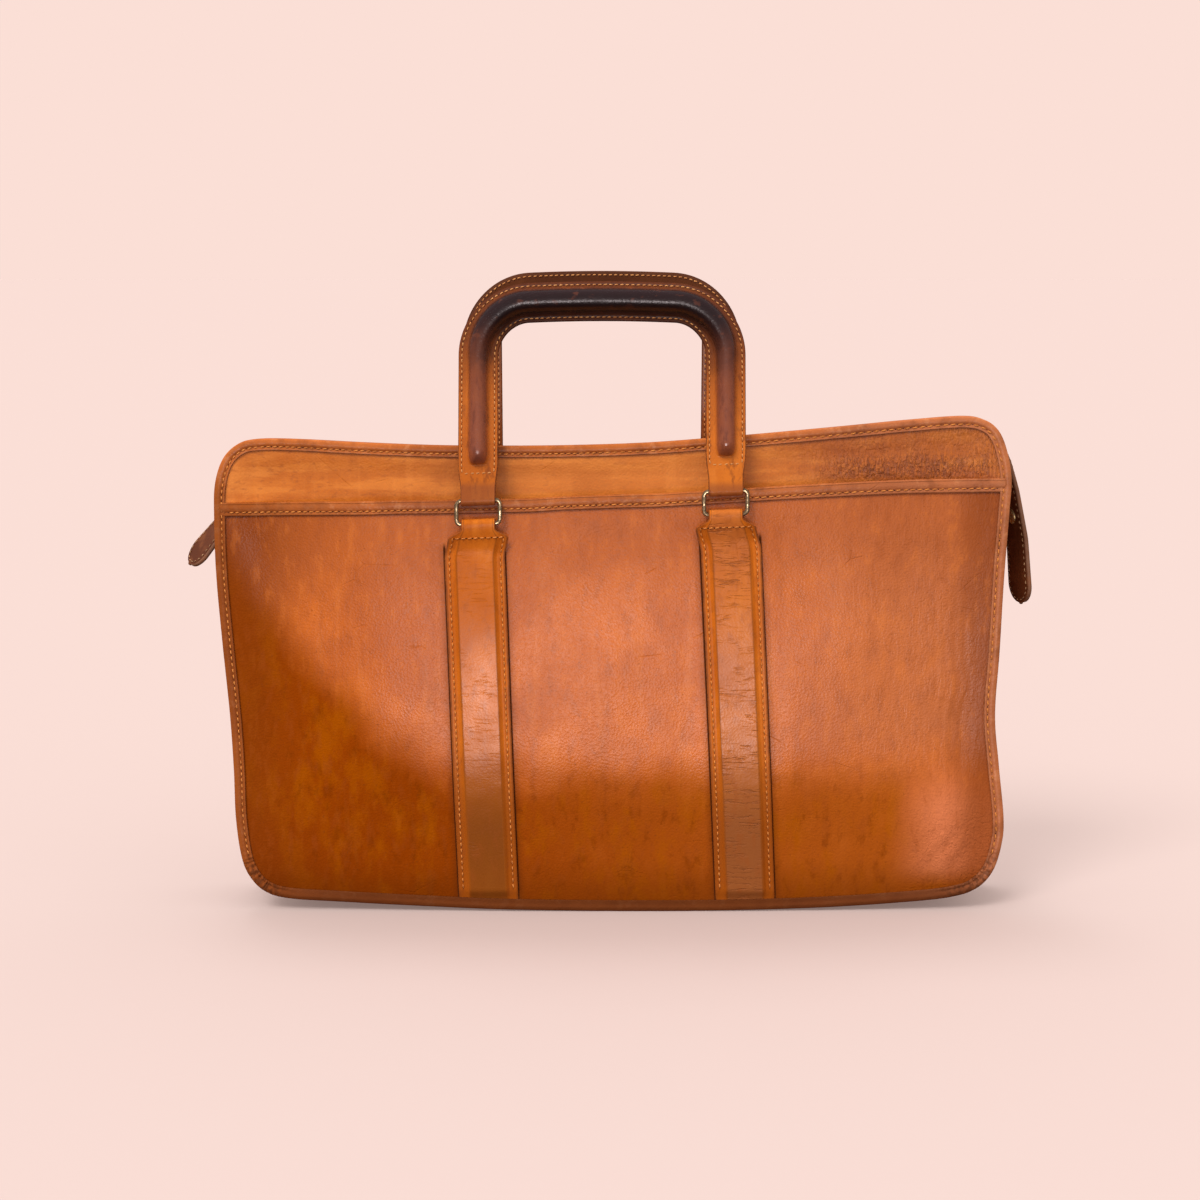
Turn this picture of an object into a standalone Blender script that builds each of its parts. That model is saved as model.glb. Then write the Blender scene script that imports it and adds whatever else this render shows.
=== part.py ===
"""Soft leather briefcase: slip pocket, looped strap rings, two carry handles and a zipped mouth.

Sizes are in millimetres and are scaled to metres when a mesh is made.
X runs to the right as seen from the front, the front face looks towards -Y, and the floor is z = 0.
"w" is the distance outwards from the middle of a seam, on the front or on the back.
"inset" is the distance inwards from the outer edge of the bound seam.
"""
import math

import bmesh
import bpy
import numpy as np

MM = 0.001
GAP = 0.3
LEATHER = 1.4
FRONT = -1.0
BACK = 1.0

# Outer edge of the bound front seam, anticlockwise as seen from the front (x, z).
OUTLINE = [
    (-193.0, 10.5), (-180.0, 6.5), (-148.0, 4.6), (-110.0, 2.8), (-60.0, 0.8),
    (0.0, 0.0), (60.0, 0.2), (115.0, 1.6), (160.0, 4.2), (188.0, 7.0),
    (203.0, 12.0), (212.0, 22.0), (216.5, 37.0), (217.3, 52.0), (214.0, 82.0),
    (211.4, 110.0), (213.2, 145.0), (214.8, 185.0), (217.0, 222.0), (217.8, 240.0),
    (214.9, 255.6), (210.0, 266.4), (202.0, 272.2), (190.0, 274.0), (162.0, 272.0),
    (129.0, 268.8), (97.0, 265.8), (60.0, 262.6), (20.0, 259.6), (-20.0, 258.2),
    (-60.0, 257.8), (-100.0, 258.2), (-140.0, 259.8), (-175.0, 261.6), (-194.0, 261.4),
    (-204.0, 258.6), (-212.0, 250.5), (-216.4, 237.0), (-217.2, 220.0), (-216.7, 188.0),
    (-214.0, 150.0), (-210.6, 110.0), (-209.0, 78.0), (-208.4, 52.0), (-205.6, 30.0),
    (-201.0, 18.5),
]
CORNERS = [(-200.0, 16.0), (210.0, 18.0), (210.0, 266.4), (-208.0, 255.6)]
BACK_HEIGHT_SCALE = 0.987

# Depth of the bag: half the distance between the middles of the two seams.
HALF_DEPTH_BASE = 30.4
DEPTH_LEAN = 0.031
END_PULL = 4.0

# Edge binding, a C-section round each seam.
BIND_WIDTH = 6.3
BIND_LEATHER = 0.9
PANEL_INSET = 2.0

# How far each face bellies out.
POCKET_BULGE = 8.5
POCKET_BULGE_MOUTH = 7.5
FRONT_BULGE = 0.4
BACK_BULGE = 6.0

# Pocket mouth: top edge of its bound strip (x, z).
MOUTH_X = [-216.0, -171.0, -56.0, 47.0, 115.0, 161.0, 216.0]
MOUTH_Z = [226.6, 227.7, 229.8, 233.8, 238.2, 240.0, 240.3]
MOUTH_STRIP = 7.5

# Gusset, a U-shaped strip between the seams.
GUSSET_SAG = 8.6
GUSSET_FOLD = 13.0
GUSSET_TOP_LEFT = 241.0
GUSSET_TOP_RIGHT = 255.0

# Rings and straps.
RING_X = (-72.3, 61.4)
RING_Z = (222.95, 228.1)
RING_SLOPE = (RING_Z[1] - RING_Z[0]) / (RING_X[1] - RING_X[0])
RING_HALF_WIDTH = 11.75
RING_HALF_HEIGHT = 6.35
RING_CORNER = 1.9
WIRE_RADIUS = 1.25
BACK_RING_LIFT = 4.0
STRAP_BOTTOM_X = (-68.2, 74.0)
STRAP_TOP_X = (-74.9, 63.9)
STRAP_TOP_Z = (211.0, 216.6)
STRAP_HALF = 16.4
NECK_HALF = 9.3
STRAP_LEATHER = 1.3
STRAP_BOTTOM_Z = 8.0
LOOP_RADIUS = 2.15
RING_STAND_OFF = 6.8
BACK_RING_STAND_OFF = 5.3

# Handles: an upright arch, then leaned about the upper bars of the rings.
HANDLE_MID_X = -5.45
HANDLE_HALF = 66.85
HANDLE_STRIP_HALF = 10.75
HANDLE_HEIGHT = 116.5
HANDLE_CORNER = 27.0
HANDLE_CROWN = 2.6
CORE_END_Z = 20.0
CORE_RADIUS = 4.0
RETURN_TOP = 13.0
FRONT_LEAN = 11.6
BACK_LEAN = 6.0

# Zip: a straight, slightly inclined line across the mouth.
ZIP_MID_Z = 255.0
ZIP_SLOPE = 14.0 / 380.0
ZIP_ANGLE = math.atan(ZIP_SLOPE)
FLAP_HALF_LENGTH = 172.5
FLAP_OUTER = 15.6
FLAP_AXIS = 14.8
WELT_INNER = 6.9
TAPE_INNER = 3.3
TAPE_OUTER = 9.5
CHAIN_INNER = 0.8
CHAIN_OUTER = 3.0
END_INNER = 173.2
END_OUTER = 201.5
END_HALF = 14.5
SLOT_END = 190.0
SLIDER_AT = 181.5
SLIDER_LENGTH = 13.0
SLIDER_TRAVEL = 2.0 * SLIDER_AT
PULL_AXIS_C = 4.0
PULL_LENGTH = 21.0

# Tabs at the two ends of the zip (x, z) along their middle lines.
LEFT_TAB = [(-204.2, 247.6), (-205.8, 246.0), (-207.4, 238.0), (-208.8, 228.0),
            (-214.6, 215.0), (-228.3, 198.5)]
RIGHT_TAB = [(204.4, 262.4), (211.0, 259.6), (217.0, 250.0), (221.2, 232.0),
             (225.8, 205.0), (228.0, 179.0)]
TAB_HALF = 11.6
TAB_LEATHER = 2.4
LEFT_TWIST = (0.0, 0.0, 4.0, 12.0, 22.0, 28.0)
RIGHT_TWIST = (0.0, 0.0, -5.0, -12.0, -18.0, -20.0)

LEATHER_TAN = (0.53, 0.20, 0.06)
LEATHER_EDGE = (0.42, 0.16, 0.06)
LEATHER_DARK = (0.14, 0.045, 0.02)
BRASS_OLD = (0.42, 0.33, 0.18)
TAPE_BROWN = (0.10, 0.05, 0.03)
CORD_TAN = (0.45, 0.33, 0.20)


def clear_scene():
    for obj in list(bpy.data.objects):
        bpy.data.objects.remove(obj, do_unlink=True)


def make_material(name, colour, roughness, metallic):
    mat = bpy.data.materials.new(name)
    mat.use_nodes = True
    shader = mat.node_tree.nodes["Principled BSDF"]
    shader.inputs["Base Color"].default_value = (*colour, 1.0)
    shader.inputs["Roughness"].default_value = roughness
    shader.inputs["Metallic"].default_value = metallic
    return mat


def add_object(name, verts, faces, mat, origin=(0.0, 0.0, 0.0)):
    """Make one closed mesh object, with its own origin, from points in millimetres."""
    base = np.array(origin, dtype=float)
    points = (np.asarray(verts, dtype=float) - base) * MM
    mesh = bpy.data.meshes.new(name)
    mesh.from_pydata([tuple(p) for p in points], [], faces)
    mesh.update()
    work = bmesh.new()
    work.from_mesh(mesh)
    bmesh.ops.triangulate(work, faces=work.faces[:])
    bmesh.ops.recalc_face_normals(work, faces=work.faces[:])
    if work.calc_volume(signed=True) < 0.0:
        bmesh.ops.reverse_faces(work, faces=work.faces[:])
    work.to_mesh(mesh)
    work.free()
    mesh.materials.append(mat)
    obj = bpy.data.objects.new(name, mesh)
    obj.location = tuple(base * MM)
    bpy.context.collection.objects.link(obj)
    return obj


def slab(outer, inner, wrap=False):
    """Join two matching grids of points into one closed sheet; wrap closes the first direction."""
    outer = np.asarray(outer, dtype=float)
    inner = np.asarray(inner, dtype=float)
    rows, cols = outer.shape[:2]
    verts = np.concatenate([outer.reshape(-1, 3), inner.reshape(-1, 3)])
    shift = rows * cols
    faces = []
    last = rows if wrap else rows - 1
    for i in range(last):
        k = (i + 1) % rows
        for j in range(cols - 1):
            a, b = i * cols + j, i * cols + j + 1
            c, d = k * cols + j + 1, k * cols + j
            faces.append((a, b, c, d))
            faces.append((shift + d, shift + c, shift + b, shift + a))
        for j in (0, cols - 1):
            a, d = i * cols + j, k * cols + j
            side = (a, d, shift + d, shift + a)
            faces.append(side if j == 0 else side[::-1])
    if not wrap:
        for i in (0, rows - 1):
            for j in range(cols - 1):
                a, b = i * cols + j, i * cols + j + 1
                side = (a, shift + a, shift + b, b)
                faces.append(side if i == 0 else side[::-1])
    return verts, faces


def tube(sections, wrap=False):
    """Join matching rings of points into one closed tube, capped at both ends unless it wraps."""
    sections = np.asarray(sections, dtype=float)
    rows, cols = sections.shape[:2]
    verts = sections.reshape(-1, 3)
    faces = []
    last = rows if wrap else rows - 1
    for i in range(last):
        k = (i + 1) % rows
        for j in range(cols):
            m = (j + 1) % cols
            faces.append((i * cols + j, i * cols + m, k * cols + m, k * cols + j))
    if not wrap:
        faces.append(tuple(range(cols))[::-1])
        faces.append(tuple((rows - 1) * cols + j for j in range(cols)))
    return verts, faces


def ease(value):
    """Smooth step from 0 to 1."""
    t = np.clip(value, 0.0, 1.0)
    return t * t * (3.0 - 2.0 * t)


def smooth_loop(points, per_span):
    """Closed Catmull-Rom curve through the points, with per_span samples on each span."""
    pts = np.asarray(points, dtype=float)
    count = len(pts)
    out = []
    for i in range(count):
        p0, p1 = pts[i - 1], pts[i]
        p2, p3 = pts[(i + 1) % count], pts[(i + 2) % count]
        for step in range(per_span):
            t = step / per_span
            out.append(0.5 * (2.0 * p1 + (p2 - p0) * t + (2.0 * p0 - 5.0 * p1 + 4.0 * p2 - p3) * t * t
                              + (3.0 * p1 - p0 - 3.0 * p2 + p3) * t ** 3))
    return np.array(out)


def outline_curve(side, inset):
    """Seam outline moved inwards by the inset; the back is a little lower than the front."""
    curve = smooth_loop(OUTLINE, 8)
    if side > 0:
        curve = curve * np.array([1.0, BACK_HEIGHT_SCALE])
    ahead = np.roll(curve, -1, axis=0)
    behind = np.roll(curve, 1, axis=0)
    tangent = ahead - behind
    tangent /= np.linalg.norm(tangent, axis=1)[:, None]
    inward = np.stack([-tangent[:, 1], tangent[:, 0]], axis=1)
    return curve + inward * inset, inward


def corner_index(curve, corner):
    return int(np.argmin(np.sum((curve - np.array(corner)) ** 2, axis=1)))


def resample(curve, fractions):
    """Points at the given fractions of the length of an open curve."""
    steps = np.linalg.norm(np.diff(curve, axis=0), axis=1)
    length = np.concatenate([[0.0], np.cumsum(steps)])
    where = np.asarray(fractions) * length[-1]
    return np.stack([np.interp(where, length, curve[:, k]) for k in range(curve.shape[1])], axis=1)


def span(curve, start, stop):
    """The part of a closed curve from one index to another."""
    if stop <= start:
        stop += len(curve)
    return curve[np.arange(start, stop + 1) % len(curve)]


def side_spans(side, inset):
    """Bottom, right, top and left parts of the outline, run left to right and bottom to top."""
    curve, _ = outline_curve(side, inset)
    low_left, low_right, top_right, top_left = [corner_index(curve, c) for c in CORNERS]
    bottom = span(curve, low_left, low_right)
    right = span(curve, low_right, top_right)
    top = span(curve, top_right, top_left)[::-1]
    left = span(curve, top_left, low_left)[::-1]
    return bottom, right, top, left


def patch(bottom, right, top, left, across, upward):
    """Blend four edge curves into a grid of (x, z) points."""
    low = resample(bottom, across)[None, :, :]
    high = resample(top, across)[None, :, :]
    west = resample(left, upward)[:, None, :]
    east = resample(right, upward)[:, None, :]
    s = np.asarray(across)[None, :, None]
    t = np.asarray(upward)[:, None, None]
    flat = (1 - t) * low + t * high + (1 - s) * west + s * east
    corners = ((1 - s) * (1 - t) * low[:, :1] + s * (1 - t) * low[:, -1:]
               + (1 - s) * t * high[:, :1] + s * t * high[:, -1:])
    return flat - corners


def half_depth(x, z):
    """Distance of the middle of a seam from the middle plane of the bag."""
    pull = END_PULL * (x / 210.0) ** 2 * (1.0 - z / 300.0)
    return HALF_DEPTH_BASE - DEPTH_LEAN * z - pull


def top_line(x):
    """Rough height of the top edge, used only to fade the bulge out."""
    return np.interp(x, [-200.0, -60.0, 190.0], [260.0, 257.0, 273.0])


def belly(x, z):
    """1 in the middle of a face, 0 at its sides and its bottom edge."""
    return ease((208.0 - np.abs(x)) / 90.0) * ease(z / 90.0)


def pocket_bulge(x, z):
    height = POCKET_BULGE + (POCKET_BULGE_MOUTH - POCKET_BULGE) * ease((z - 130.0) / 90.0)
    return height * belly(x, z)


def front_bulge(x, z):
    return FRONT_BULGE * belly(x, z) * ease((top_line(x) - z) / 60.0)


def back_bulge(x, z):
    return BACK_BULGE * belly(x, z) * ease((top_line(x) * BACK_HEIGHT_SCALE - z) / 60.0)


def place(side, xz, w):
    """Turn (x, z) points and outward distances into 3-D points on one side of the bag."""
    x, z = xz[..., 0], xz[..., 1]
    return np.stack([x, side * (half_depth(x, z) + w), z], axis=-1)


def fractions(count, edge):
    """Grid fractions with one narrow strip at each end."""
    return np.concatenate([[0.0], np.linspace(edge, 1.0 - edge, count), [1.0]])


def add_panel(name, side, low_w, bulge, mat):
    """Full-height face panel, bellied by its bulge function."""
    bottom, right, top, left = side_spans(side, PANEL_INSET)
    grid = patch(bottom, right, top, left, fractions(17, 0.018), fractions(9, 0.03))
    swell = bulge(grid[..., 0], grid[..., 1])
    outer = place(side, grid, low_w + LEATHER + swell)
    inner = place(side, grid, low_w + swell)
    add_object(name, *slab(outer, inner), mat)


def mouth_edge(x):
    return np.interp(x, MOUTH_X, MOUTH_Z)


def cut_at_mouth(curve):
    """Keep the part of a side curve, bottom to top, that is below the pocket's mouth."""
    top = mouth_edge(curve[:, 0]) - BIND_LEATHER - GAP
    keep = curve[curve[:, 1] < top - 0.5]
    last = keep[-1].copy()
    last[1] = top[len(keep) - 1]
    return np.vstack([keep, last])


def add_pocket(mat, mouth_mat):
    """Outside slip pocket over the front panel, and the bound strip along its mouth."""
    bottom, right, _, left = side_spans(FRONT, PANEL_INSET)
    left, right = cut_at_mouth(left), cut_at_mouth(right)
    xs = np.linspace(left[-1, 0], right[-1, 0], 41)
    top = np.stack([xs, mouth_edge(xs) - BIND_LEATHER - GAP], axis=1)
    top[0], top[-1] = left[-1], right[-1]
    grid = patch(bottom, right, top, left, fractions(19, 0.018), fractions(9, 0.034)[:-1])
    grid = np.concatenate([grid, resample(top, fractions(19, 0.018))[None]])
    swell = pocket_bulge(grid[..., 0], grid[..., 1])
    outer = place(FRONT, grid, 2.4 + swell)
    inner = place(FRONT, grid, 1.0 + swell)
    add_object("front_pocket", *slab(outer, inner), mat)

    xs = np.linspace(left[-1, 0] + 6.2, right[-1, 0] - 6.2, 29)
    edge = mouth_edge(xs)
    section = [(0.0, 1.0), (0.0, 3.0), (0.6, 3.6), (MOUTH_STRIP, 3.6)]
    under = [(BIND_LEATHER, 1.0), (BIND_LEATHER, 2.4), (1.2, 2.7), (MOUTH_STRIP, 2.7)]
    grids = []
    for chain in (section, under):
        rows = []
        for down, w in chain:
            z = edge - down
            rows.append(place(FRONT, np.stack([xs, z], axis=1), w + pocket_bulge(xs, z)))
        grids.append(np.stack(rows, axis=1))
    add_object("pocket_mouth_binding", *slab(grids[0], grids[1]), mouth_mat)


def add_binding(name, side, mat):
    """Leather strip folded round a whole seam: a C-section swept along the outline."""
    picks = np.arange(0, len(OUTLINE) * 8, 5)
    section = [(BIND_WIDTH, 3.6), (0.9, 3.6), (0.0, 2.6), (0.0, -2.6), (0.9, -3.6), (BIND_WIDTH, -3.6)]
    under = [(BIND_WIDTH, 2.7), (1.1, 2.7), (0.9, 2.5), (0.9, -2.5), (1.1, -2.7), (BIND_WIDTH, -2.7)]
    grids = []
    for chain in (section, under):
        rows = []
        for inset, w in chain:
            curve, _ = outline_curve(side, inset)
            rows.append(place(side, curve[picks], w))
        grids.append(np.stack(rows, axis=1))
    add_object(name, *slab(grids[0], grids[1], wrap=True), mat)


def add_gusset(mat):
    """U-shaped strip between the seams, folded in at the top of each side and sagging to the floor."""
    front, _ = outline_curve(FRONT, 0.0)
    top_left = corner_index(front, (-215.0, GUSSET_TOP_LEFT))
    top_right = corner_index(front, (215.0, GUSSET_TOP_RIGHT))
    picks = np.arange(top_left, top_right + len(front) + 1, 5) % len(front)
    chain = [(0.00, 1.4, 1.4), (0.00, 6.9, 7.9), (0.03, 7.6, 9.0), (0.14, 7.6, 9.0), (0.26, 7.6, 9.0),
             (0.50, 7.6, 9.0), (0.74, 7.6, 9.0), (0.86, 7.6, 9.0), (0.97, 7.6, 9.0), (1.00, 6.9, 7.9),
             (1.00, 1.4, 1.4)]
    shape = [0.0, 0.0, 0.0, 0.45, 1.0, 1.0, 1.0, 0.45, 0.0, 0.0, 0.0]
    grids = []
    for layer in (0, 1):
        rows = []
        for (v, outer_inset, inner_inset), amount in zip(chain, shape):
            inset = inner_inset if layer else outer_inset
            seam_w = -2.4 if layer == 0 else -1.0
            a, inward = outline_curve(FRONT, inset)
            b, _ = outline_curve(BACK, inset)
            a, b, inward = a[picks], b[picks], inward[picks]
            start = -(half_depth(a[:, 0], a[:, 1]) + seam_w)
            stop = half_depth(b[:, 0], b[:, 1]) + seam_w
            flat = (1 - v) * a + v * b
            y = (1 - v) * start + v * stop
            under = ease((150.0 - np.abs(flat[:, 0])) / 45.0) * (flat[:, 1] < 60.0)
            fold = ease((flat[:, 1] - 120.0) / 90.0) * (np.abs(flat[:, 0]) > 150.0)
            flat = flat + inward * (amount * (GUSSET_FOLD * fold - GUSSET_SAG * under))[:, None]
            floor = 0.0 if layer == 0 else LEATHER
            flat[:, 1] = np.maximum(flat[:, 1], floor)
            rows.append(np.stack([flat[:, 0], y, flat[:, 1]], axis=1))
        grids.append(np.stack(rows, axis=1))
    add_object("gusset", *slab(grids[0], grids[1]), mat)


def ring_stand_off(side):
    """Distance of the ring bars from the middle plane of the bag, the same for both rings of a side."""
    lift = 0.0 if side < 0 else BACK_RING_LIFT
    best = 0.0
    for x, z in zip(RING_X, RING_Z):
        xz = np.array([x, z + lift - RING_HALF_HEIGHT])
        if side < 0:
            reach = half_depth(*xz) + pocket_bulge(*xz) + RING_STAND_OFF
        else:
            reach = half_depth(*xz) + back_bulge(*xz) + BACK_RING_STAND_OFF
        best = max(best, float(reach))
    return best


def ring_centre(side, which):
    lift = 0.0 if side < 0 else BACK_RING_LIFT
    return np.array([RING_X[which], side * ring_stand_off(side), RING_Z[which] + lift])


def add_ring(name, side, which, mat):
    """Rounded rectangle of round wire, its bars in line with the other ring of the pair."""
    centre = ring_centre(side, which)
    path = []
    for quarter, (sx, sz) in enumerate([(1, 1), (-1, 1), (-1, -1), (1, -1)]):
        for step in range(4):
            angle = math.radians(90.0 * quarter + 30.0 * step)
            cx = sx * (RING_HALF_WIDTH - RING_CORNER)
            cz = sz * (RING_HALF_HEIGHT - RING_CORNER)
            nx, nz = math.cos(angle), math.sin(angle)
            path.append((cx + RING_CORNER * nx, cz + RING_CORNER * nz, nx, nz))
    sections = []
    for px, pz, nx, nz in path:
        ring = []
        for k in range(8):
            turn = 2.0 * math.pi * k / 8
            r = WIRE_RADIUS * math.cos(turn)
            x, z = px + r * nx, pz + r * nz
            ring.append(centre + np.array([x, WIRE_RADIUS * math.sin(turn), z + RING_SLOPE * x]))
        sections.append(ring)
    lower_bar = centre - np.array([0.0, 0.0, RING_HALF_HEIGHT])
    add_object(name, *tube(sections, wrap=True), mat, lower_bar)


def strap_stations(side, which):
    """Mid-points, outward directions, half widths and raise of the strap, from its foot to its tail."""
    lift = 0.0 if side < 0 else BACK_RING_LIFT
    centre = ring_centre(side, which)
    bar_z = centre[2] - RING_HALF_HEIGHT
    top = STRAP_TOP_Z[which] + lift
    stations = []
    for z in np.concatenate([np.linspace(STRAP_BOTTOM_Z, 80.0, 8), np.linspace(100.0, top - 14.0, 6)]):
        stations.append(("lie", z, 1.0, 0.0))
    for z, wide in ((top - 7.0, 1.0), (top - 1.6, 1.0), (top, 0.8), (top + 1.4, 0.32), (top + 2.8, 0.0)):
        stations.append(("lie", z, wide, float(ease((z - top + 12.0) / (bar_z - top + 12.0)))))
    for angle in np.linspace(0.0, 180.0, 7):
        stations.append(("loop", angle, 0.0, 0.0))
    for z in (bar_z - 4.0, bar_z - 9.0, bar_z - 16.0):
        stations.append(("back", z, 0.0, float(ease((z - bar_z + 16.0) / 16.0))))
    for z in np.concatenate([np.linspace(top - 30.0, 100.0, 5), np.linspace(80.0, STRAP_BOTTOM_Z + 3.0, 7)]):
        stations.append(("back", z, 0.0, 0.0))
    return centre, bar_z, stations


def add_strap(name, side, which, mat):
    """Strap sewn to the face, necked round the ring's lower bar and folded back beneath itself."""
    centre, bar_z, stations = strap_stations(side, which)
    surface = pocket_bulge if side < 0 else back_bulge
    under = 2.4 if side < 0 else 0.7
    wide_u = np.array([-16.4, -12.3, -9.9, 0.0, 9.9, 12.3, 16.4]) * STRAP_HALF / 16.4
    neck_u = np.array([-9.3, -9.0, -8.7, 0.0, 8.7, 9.0, 9.3]) * NECK_HALF / 9.3
    edge = np.array([1.0, 1.0, 0.0, 0.0, 0.0, 1.0, 1.0])
    half = 0.5 * STRAP_LEATHER
    lift = STRAP_LEATHER + GAP
    out = np.array([0.0, side, 0.0])
    up = np.array([0.0, 0.0, 1.0])
    outer, inner = [], []
    for kind, value, wide, blend in stations:
        u = neck_u + (wide_u - neck_u) * wide
        if kind == "loop":
            angle = math.radians(value)
            n = math.cos(angle) * out + math.sin(angle) * up
            mid = np.stack([RING_X[which] + u, np.full(7, centre[1]), bar_z + RING_SLOPE * u], axis=1)
            mid = mid + n * LOOP_RADIUS
        else:
            share = (value - STRAP_BOTTOM_Z) / (STRAP_TOP_Z[which] - STRAP_BOTTOM_Z)
            drift = STRAP_BOTTOM_X[which] + (STRAP_TOP_X[which] - STRAP_BOTTOM_X[which]) * share
            neck_share = float(ease(share * 14.0 - 13.0))
            x = drift + (RING_X[which] - drift) * neck_share + u
            z = value + RING_SLOPE * u * float(ease(share * 4.0 - 3.0))
            n = out if kind == "lie" else -out
            level = under + GAP + half
            if kind == "lie":
                level = level + lift * (1.0 - edge * wide)
            rest = half_depth(x, z) + surface(x, z) + level
            reach = abs(centre[1]) + (LOOP_RADIUS if kind == "lie" else -LOOP_RADIUS)
            y = side * (rest + (reach - rest) * blend)
            mid = np.stack([x, y, z], axis=1)
        outer.append(mid + n * half)
        inner.append(mid - n * half)
    add_object(name, *slab(outer, inner), mat)


def handle_bar(side, x=HANDLE_MID_X):
    """Point on the line through the upper bars of a side's rings."""
    centre = ring_centre(side, 0)
    z = centre[2] + RING_HALF_HEIGHT + RING_SLOPE * (x - RING_X[0])
    return np.array([x, centre[1], z])


def lean_points(side, points):
    """Turn handle points about the line of the upper bars, to the rest lean."""
    axis = np.array([1.0, 0.0, RING_SLOPE])
    axis /= np.linalg.norm(axis)
    lean = FRONT_LEAN if side < 0 else BACK_LEAN
    angle = math.radians(side * lean)
    rel = points - handle_bar(side)
    turned = (rel * math.cos(angle) + np.cross(axis, rel) * math.sin(angle)
              + axis * (rel @ axis)[..., None] * (1.0 - math.cos(angle)))
    return turned + handle_bar(side)


def arch_path(leg_from, arc_steps):
    """Middle line of the upright arch, (x, height) and the width direction, up one leg and down the other."""
    left, right = HANDLE_MID_X - HANDLE_HALF, HANDLE_MID_X + HANDLE_HALF
    spring = HANDLE_HEIGHT - HANDLE_STRIP_HALF - HANDLE_CROWN - HANDLE_CORNER
    path = []
    for h in leg_from:
        path.append((left, h, -1.0, 0.0))
    for k in range(arc_steps + 1):
        angle = math.radians(90.0 * k / arc_steps)
        nx, nz = -math.cos(angle), math.sin(angle)
        path.append((left + HANDLE_CORNER * (1.0 + nx), spring + HANDLE_CORNER * nz, nx, nz))
    flat = HANDLE_HALF - HANDLE_CORNER
    for share in (-0.5, 0.0, 0.5):
        path.append((HANDLE_MID_X + flat * share, spring + HANDLE_CORNER, 0.0, 1.0))
    for k in range(arc_steps + 1):
        angle = math.radians(90.0 - 90.0 * k / arc_steps)
        nx, nz = math.cos(angle), math.sin(angle)
        path.append((right - HANDLE_CORNER * (1.0 - nx), spring + HANDLE_CORNER * nz, nx, nz))
    for h in leg_from[::-1]:
        path.append((right, h, 1.0, 0.0))
    out = []
    for x, h, nx, nz in path:
        reach = (x - HANDLE_MID_X) / HANDLE_HALF
        crown = HANDLE_CROWN * (1.0 - reach * reach) * float(ease((h - spring) / HANDLE_CORNER))
        out.append((x, h + crown, nx, nz))
    return out


def bar_rise(x):
    """Height of the ring bars at x over their height at the middle of the handle."""
    return RING_SLOPE * (x - HANDLE_MID_X)


def handle_point(side, x, height, out_by, shear):
    """Upright handle point: height over the middle of the bars, distance outwards, bars' slope share."""
    base = handle_bar(side)
    return np.array([x, base[1] + side * out_by, base[2] + height + bar_rise(x) * shear])


def leg_shear(height):
    return 1.0 - float(ease((height - 6.0) / 60.0))


def handle_rows(side, chain, leg_from, shrink):
    """Grid rows along the arch for a section given as (across, outward, ridge across, ridge outward)."""
    rows = []
    for x, h, nx, nz in arch_path(leg_from, 6):
        ridge = float(ease((h - CORE_END_Z) / 4.0)) if shrink else 1.0
        narrow = NECK_HALF + (HANDLE_STRIP_HALF - NECK_HALF) * float(ease((h - 4.0) / 16.0))
        row = []
        for across, out_by, ridge_across, ridge_out in chain:
            a = across + (ridge_across - across) * ridge
            b = out_by + (ridge_out - out_by) * ridge
            a = a * narrow / HANDLE_STRIP_HALF
            row.append(handle_point(side, x + nx * a, h + nz * a, b, leg_shear(h)))
        rows.append(row)
    return rows


def loop_rows(side, x, flip, offset_sign, acrosses):
    """Rows for the tab that goes round the ring's upper bar, from the leg to its tail behind."""
    rows = []
    half = 0.5 * STRAP_LEATHER
    for angle in np.linspace(30.0, 180.0, 6):
        turn = math.radians(angle)
        out_by = math.cos(turn) * (LOOP_RADIUS + offset_sign * half)
        height = -math.sin(turn) * (LOOP_RADIUS + offset_sign * half)
        rows.append([handle_point(side, x + flip * a, height, out_by, 1.0) for a in acrosses])
    for height in (5.0, RETURN_TOP):
        out_by = -(LOOP_RADIUS + offset_sign * half)
        rows.append([handle_point(side, x + flip * a, height, out_by, 1.0) for a in acrosses])
    return rows


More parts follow.
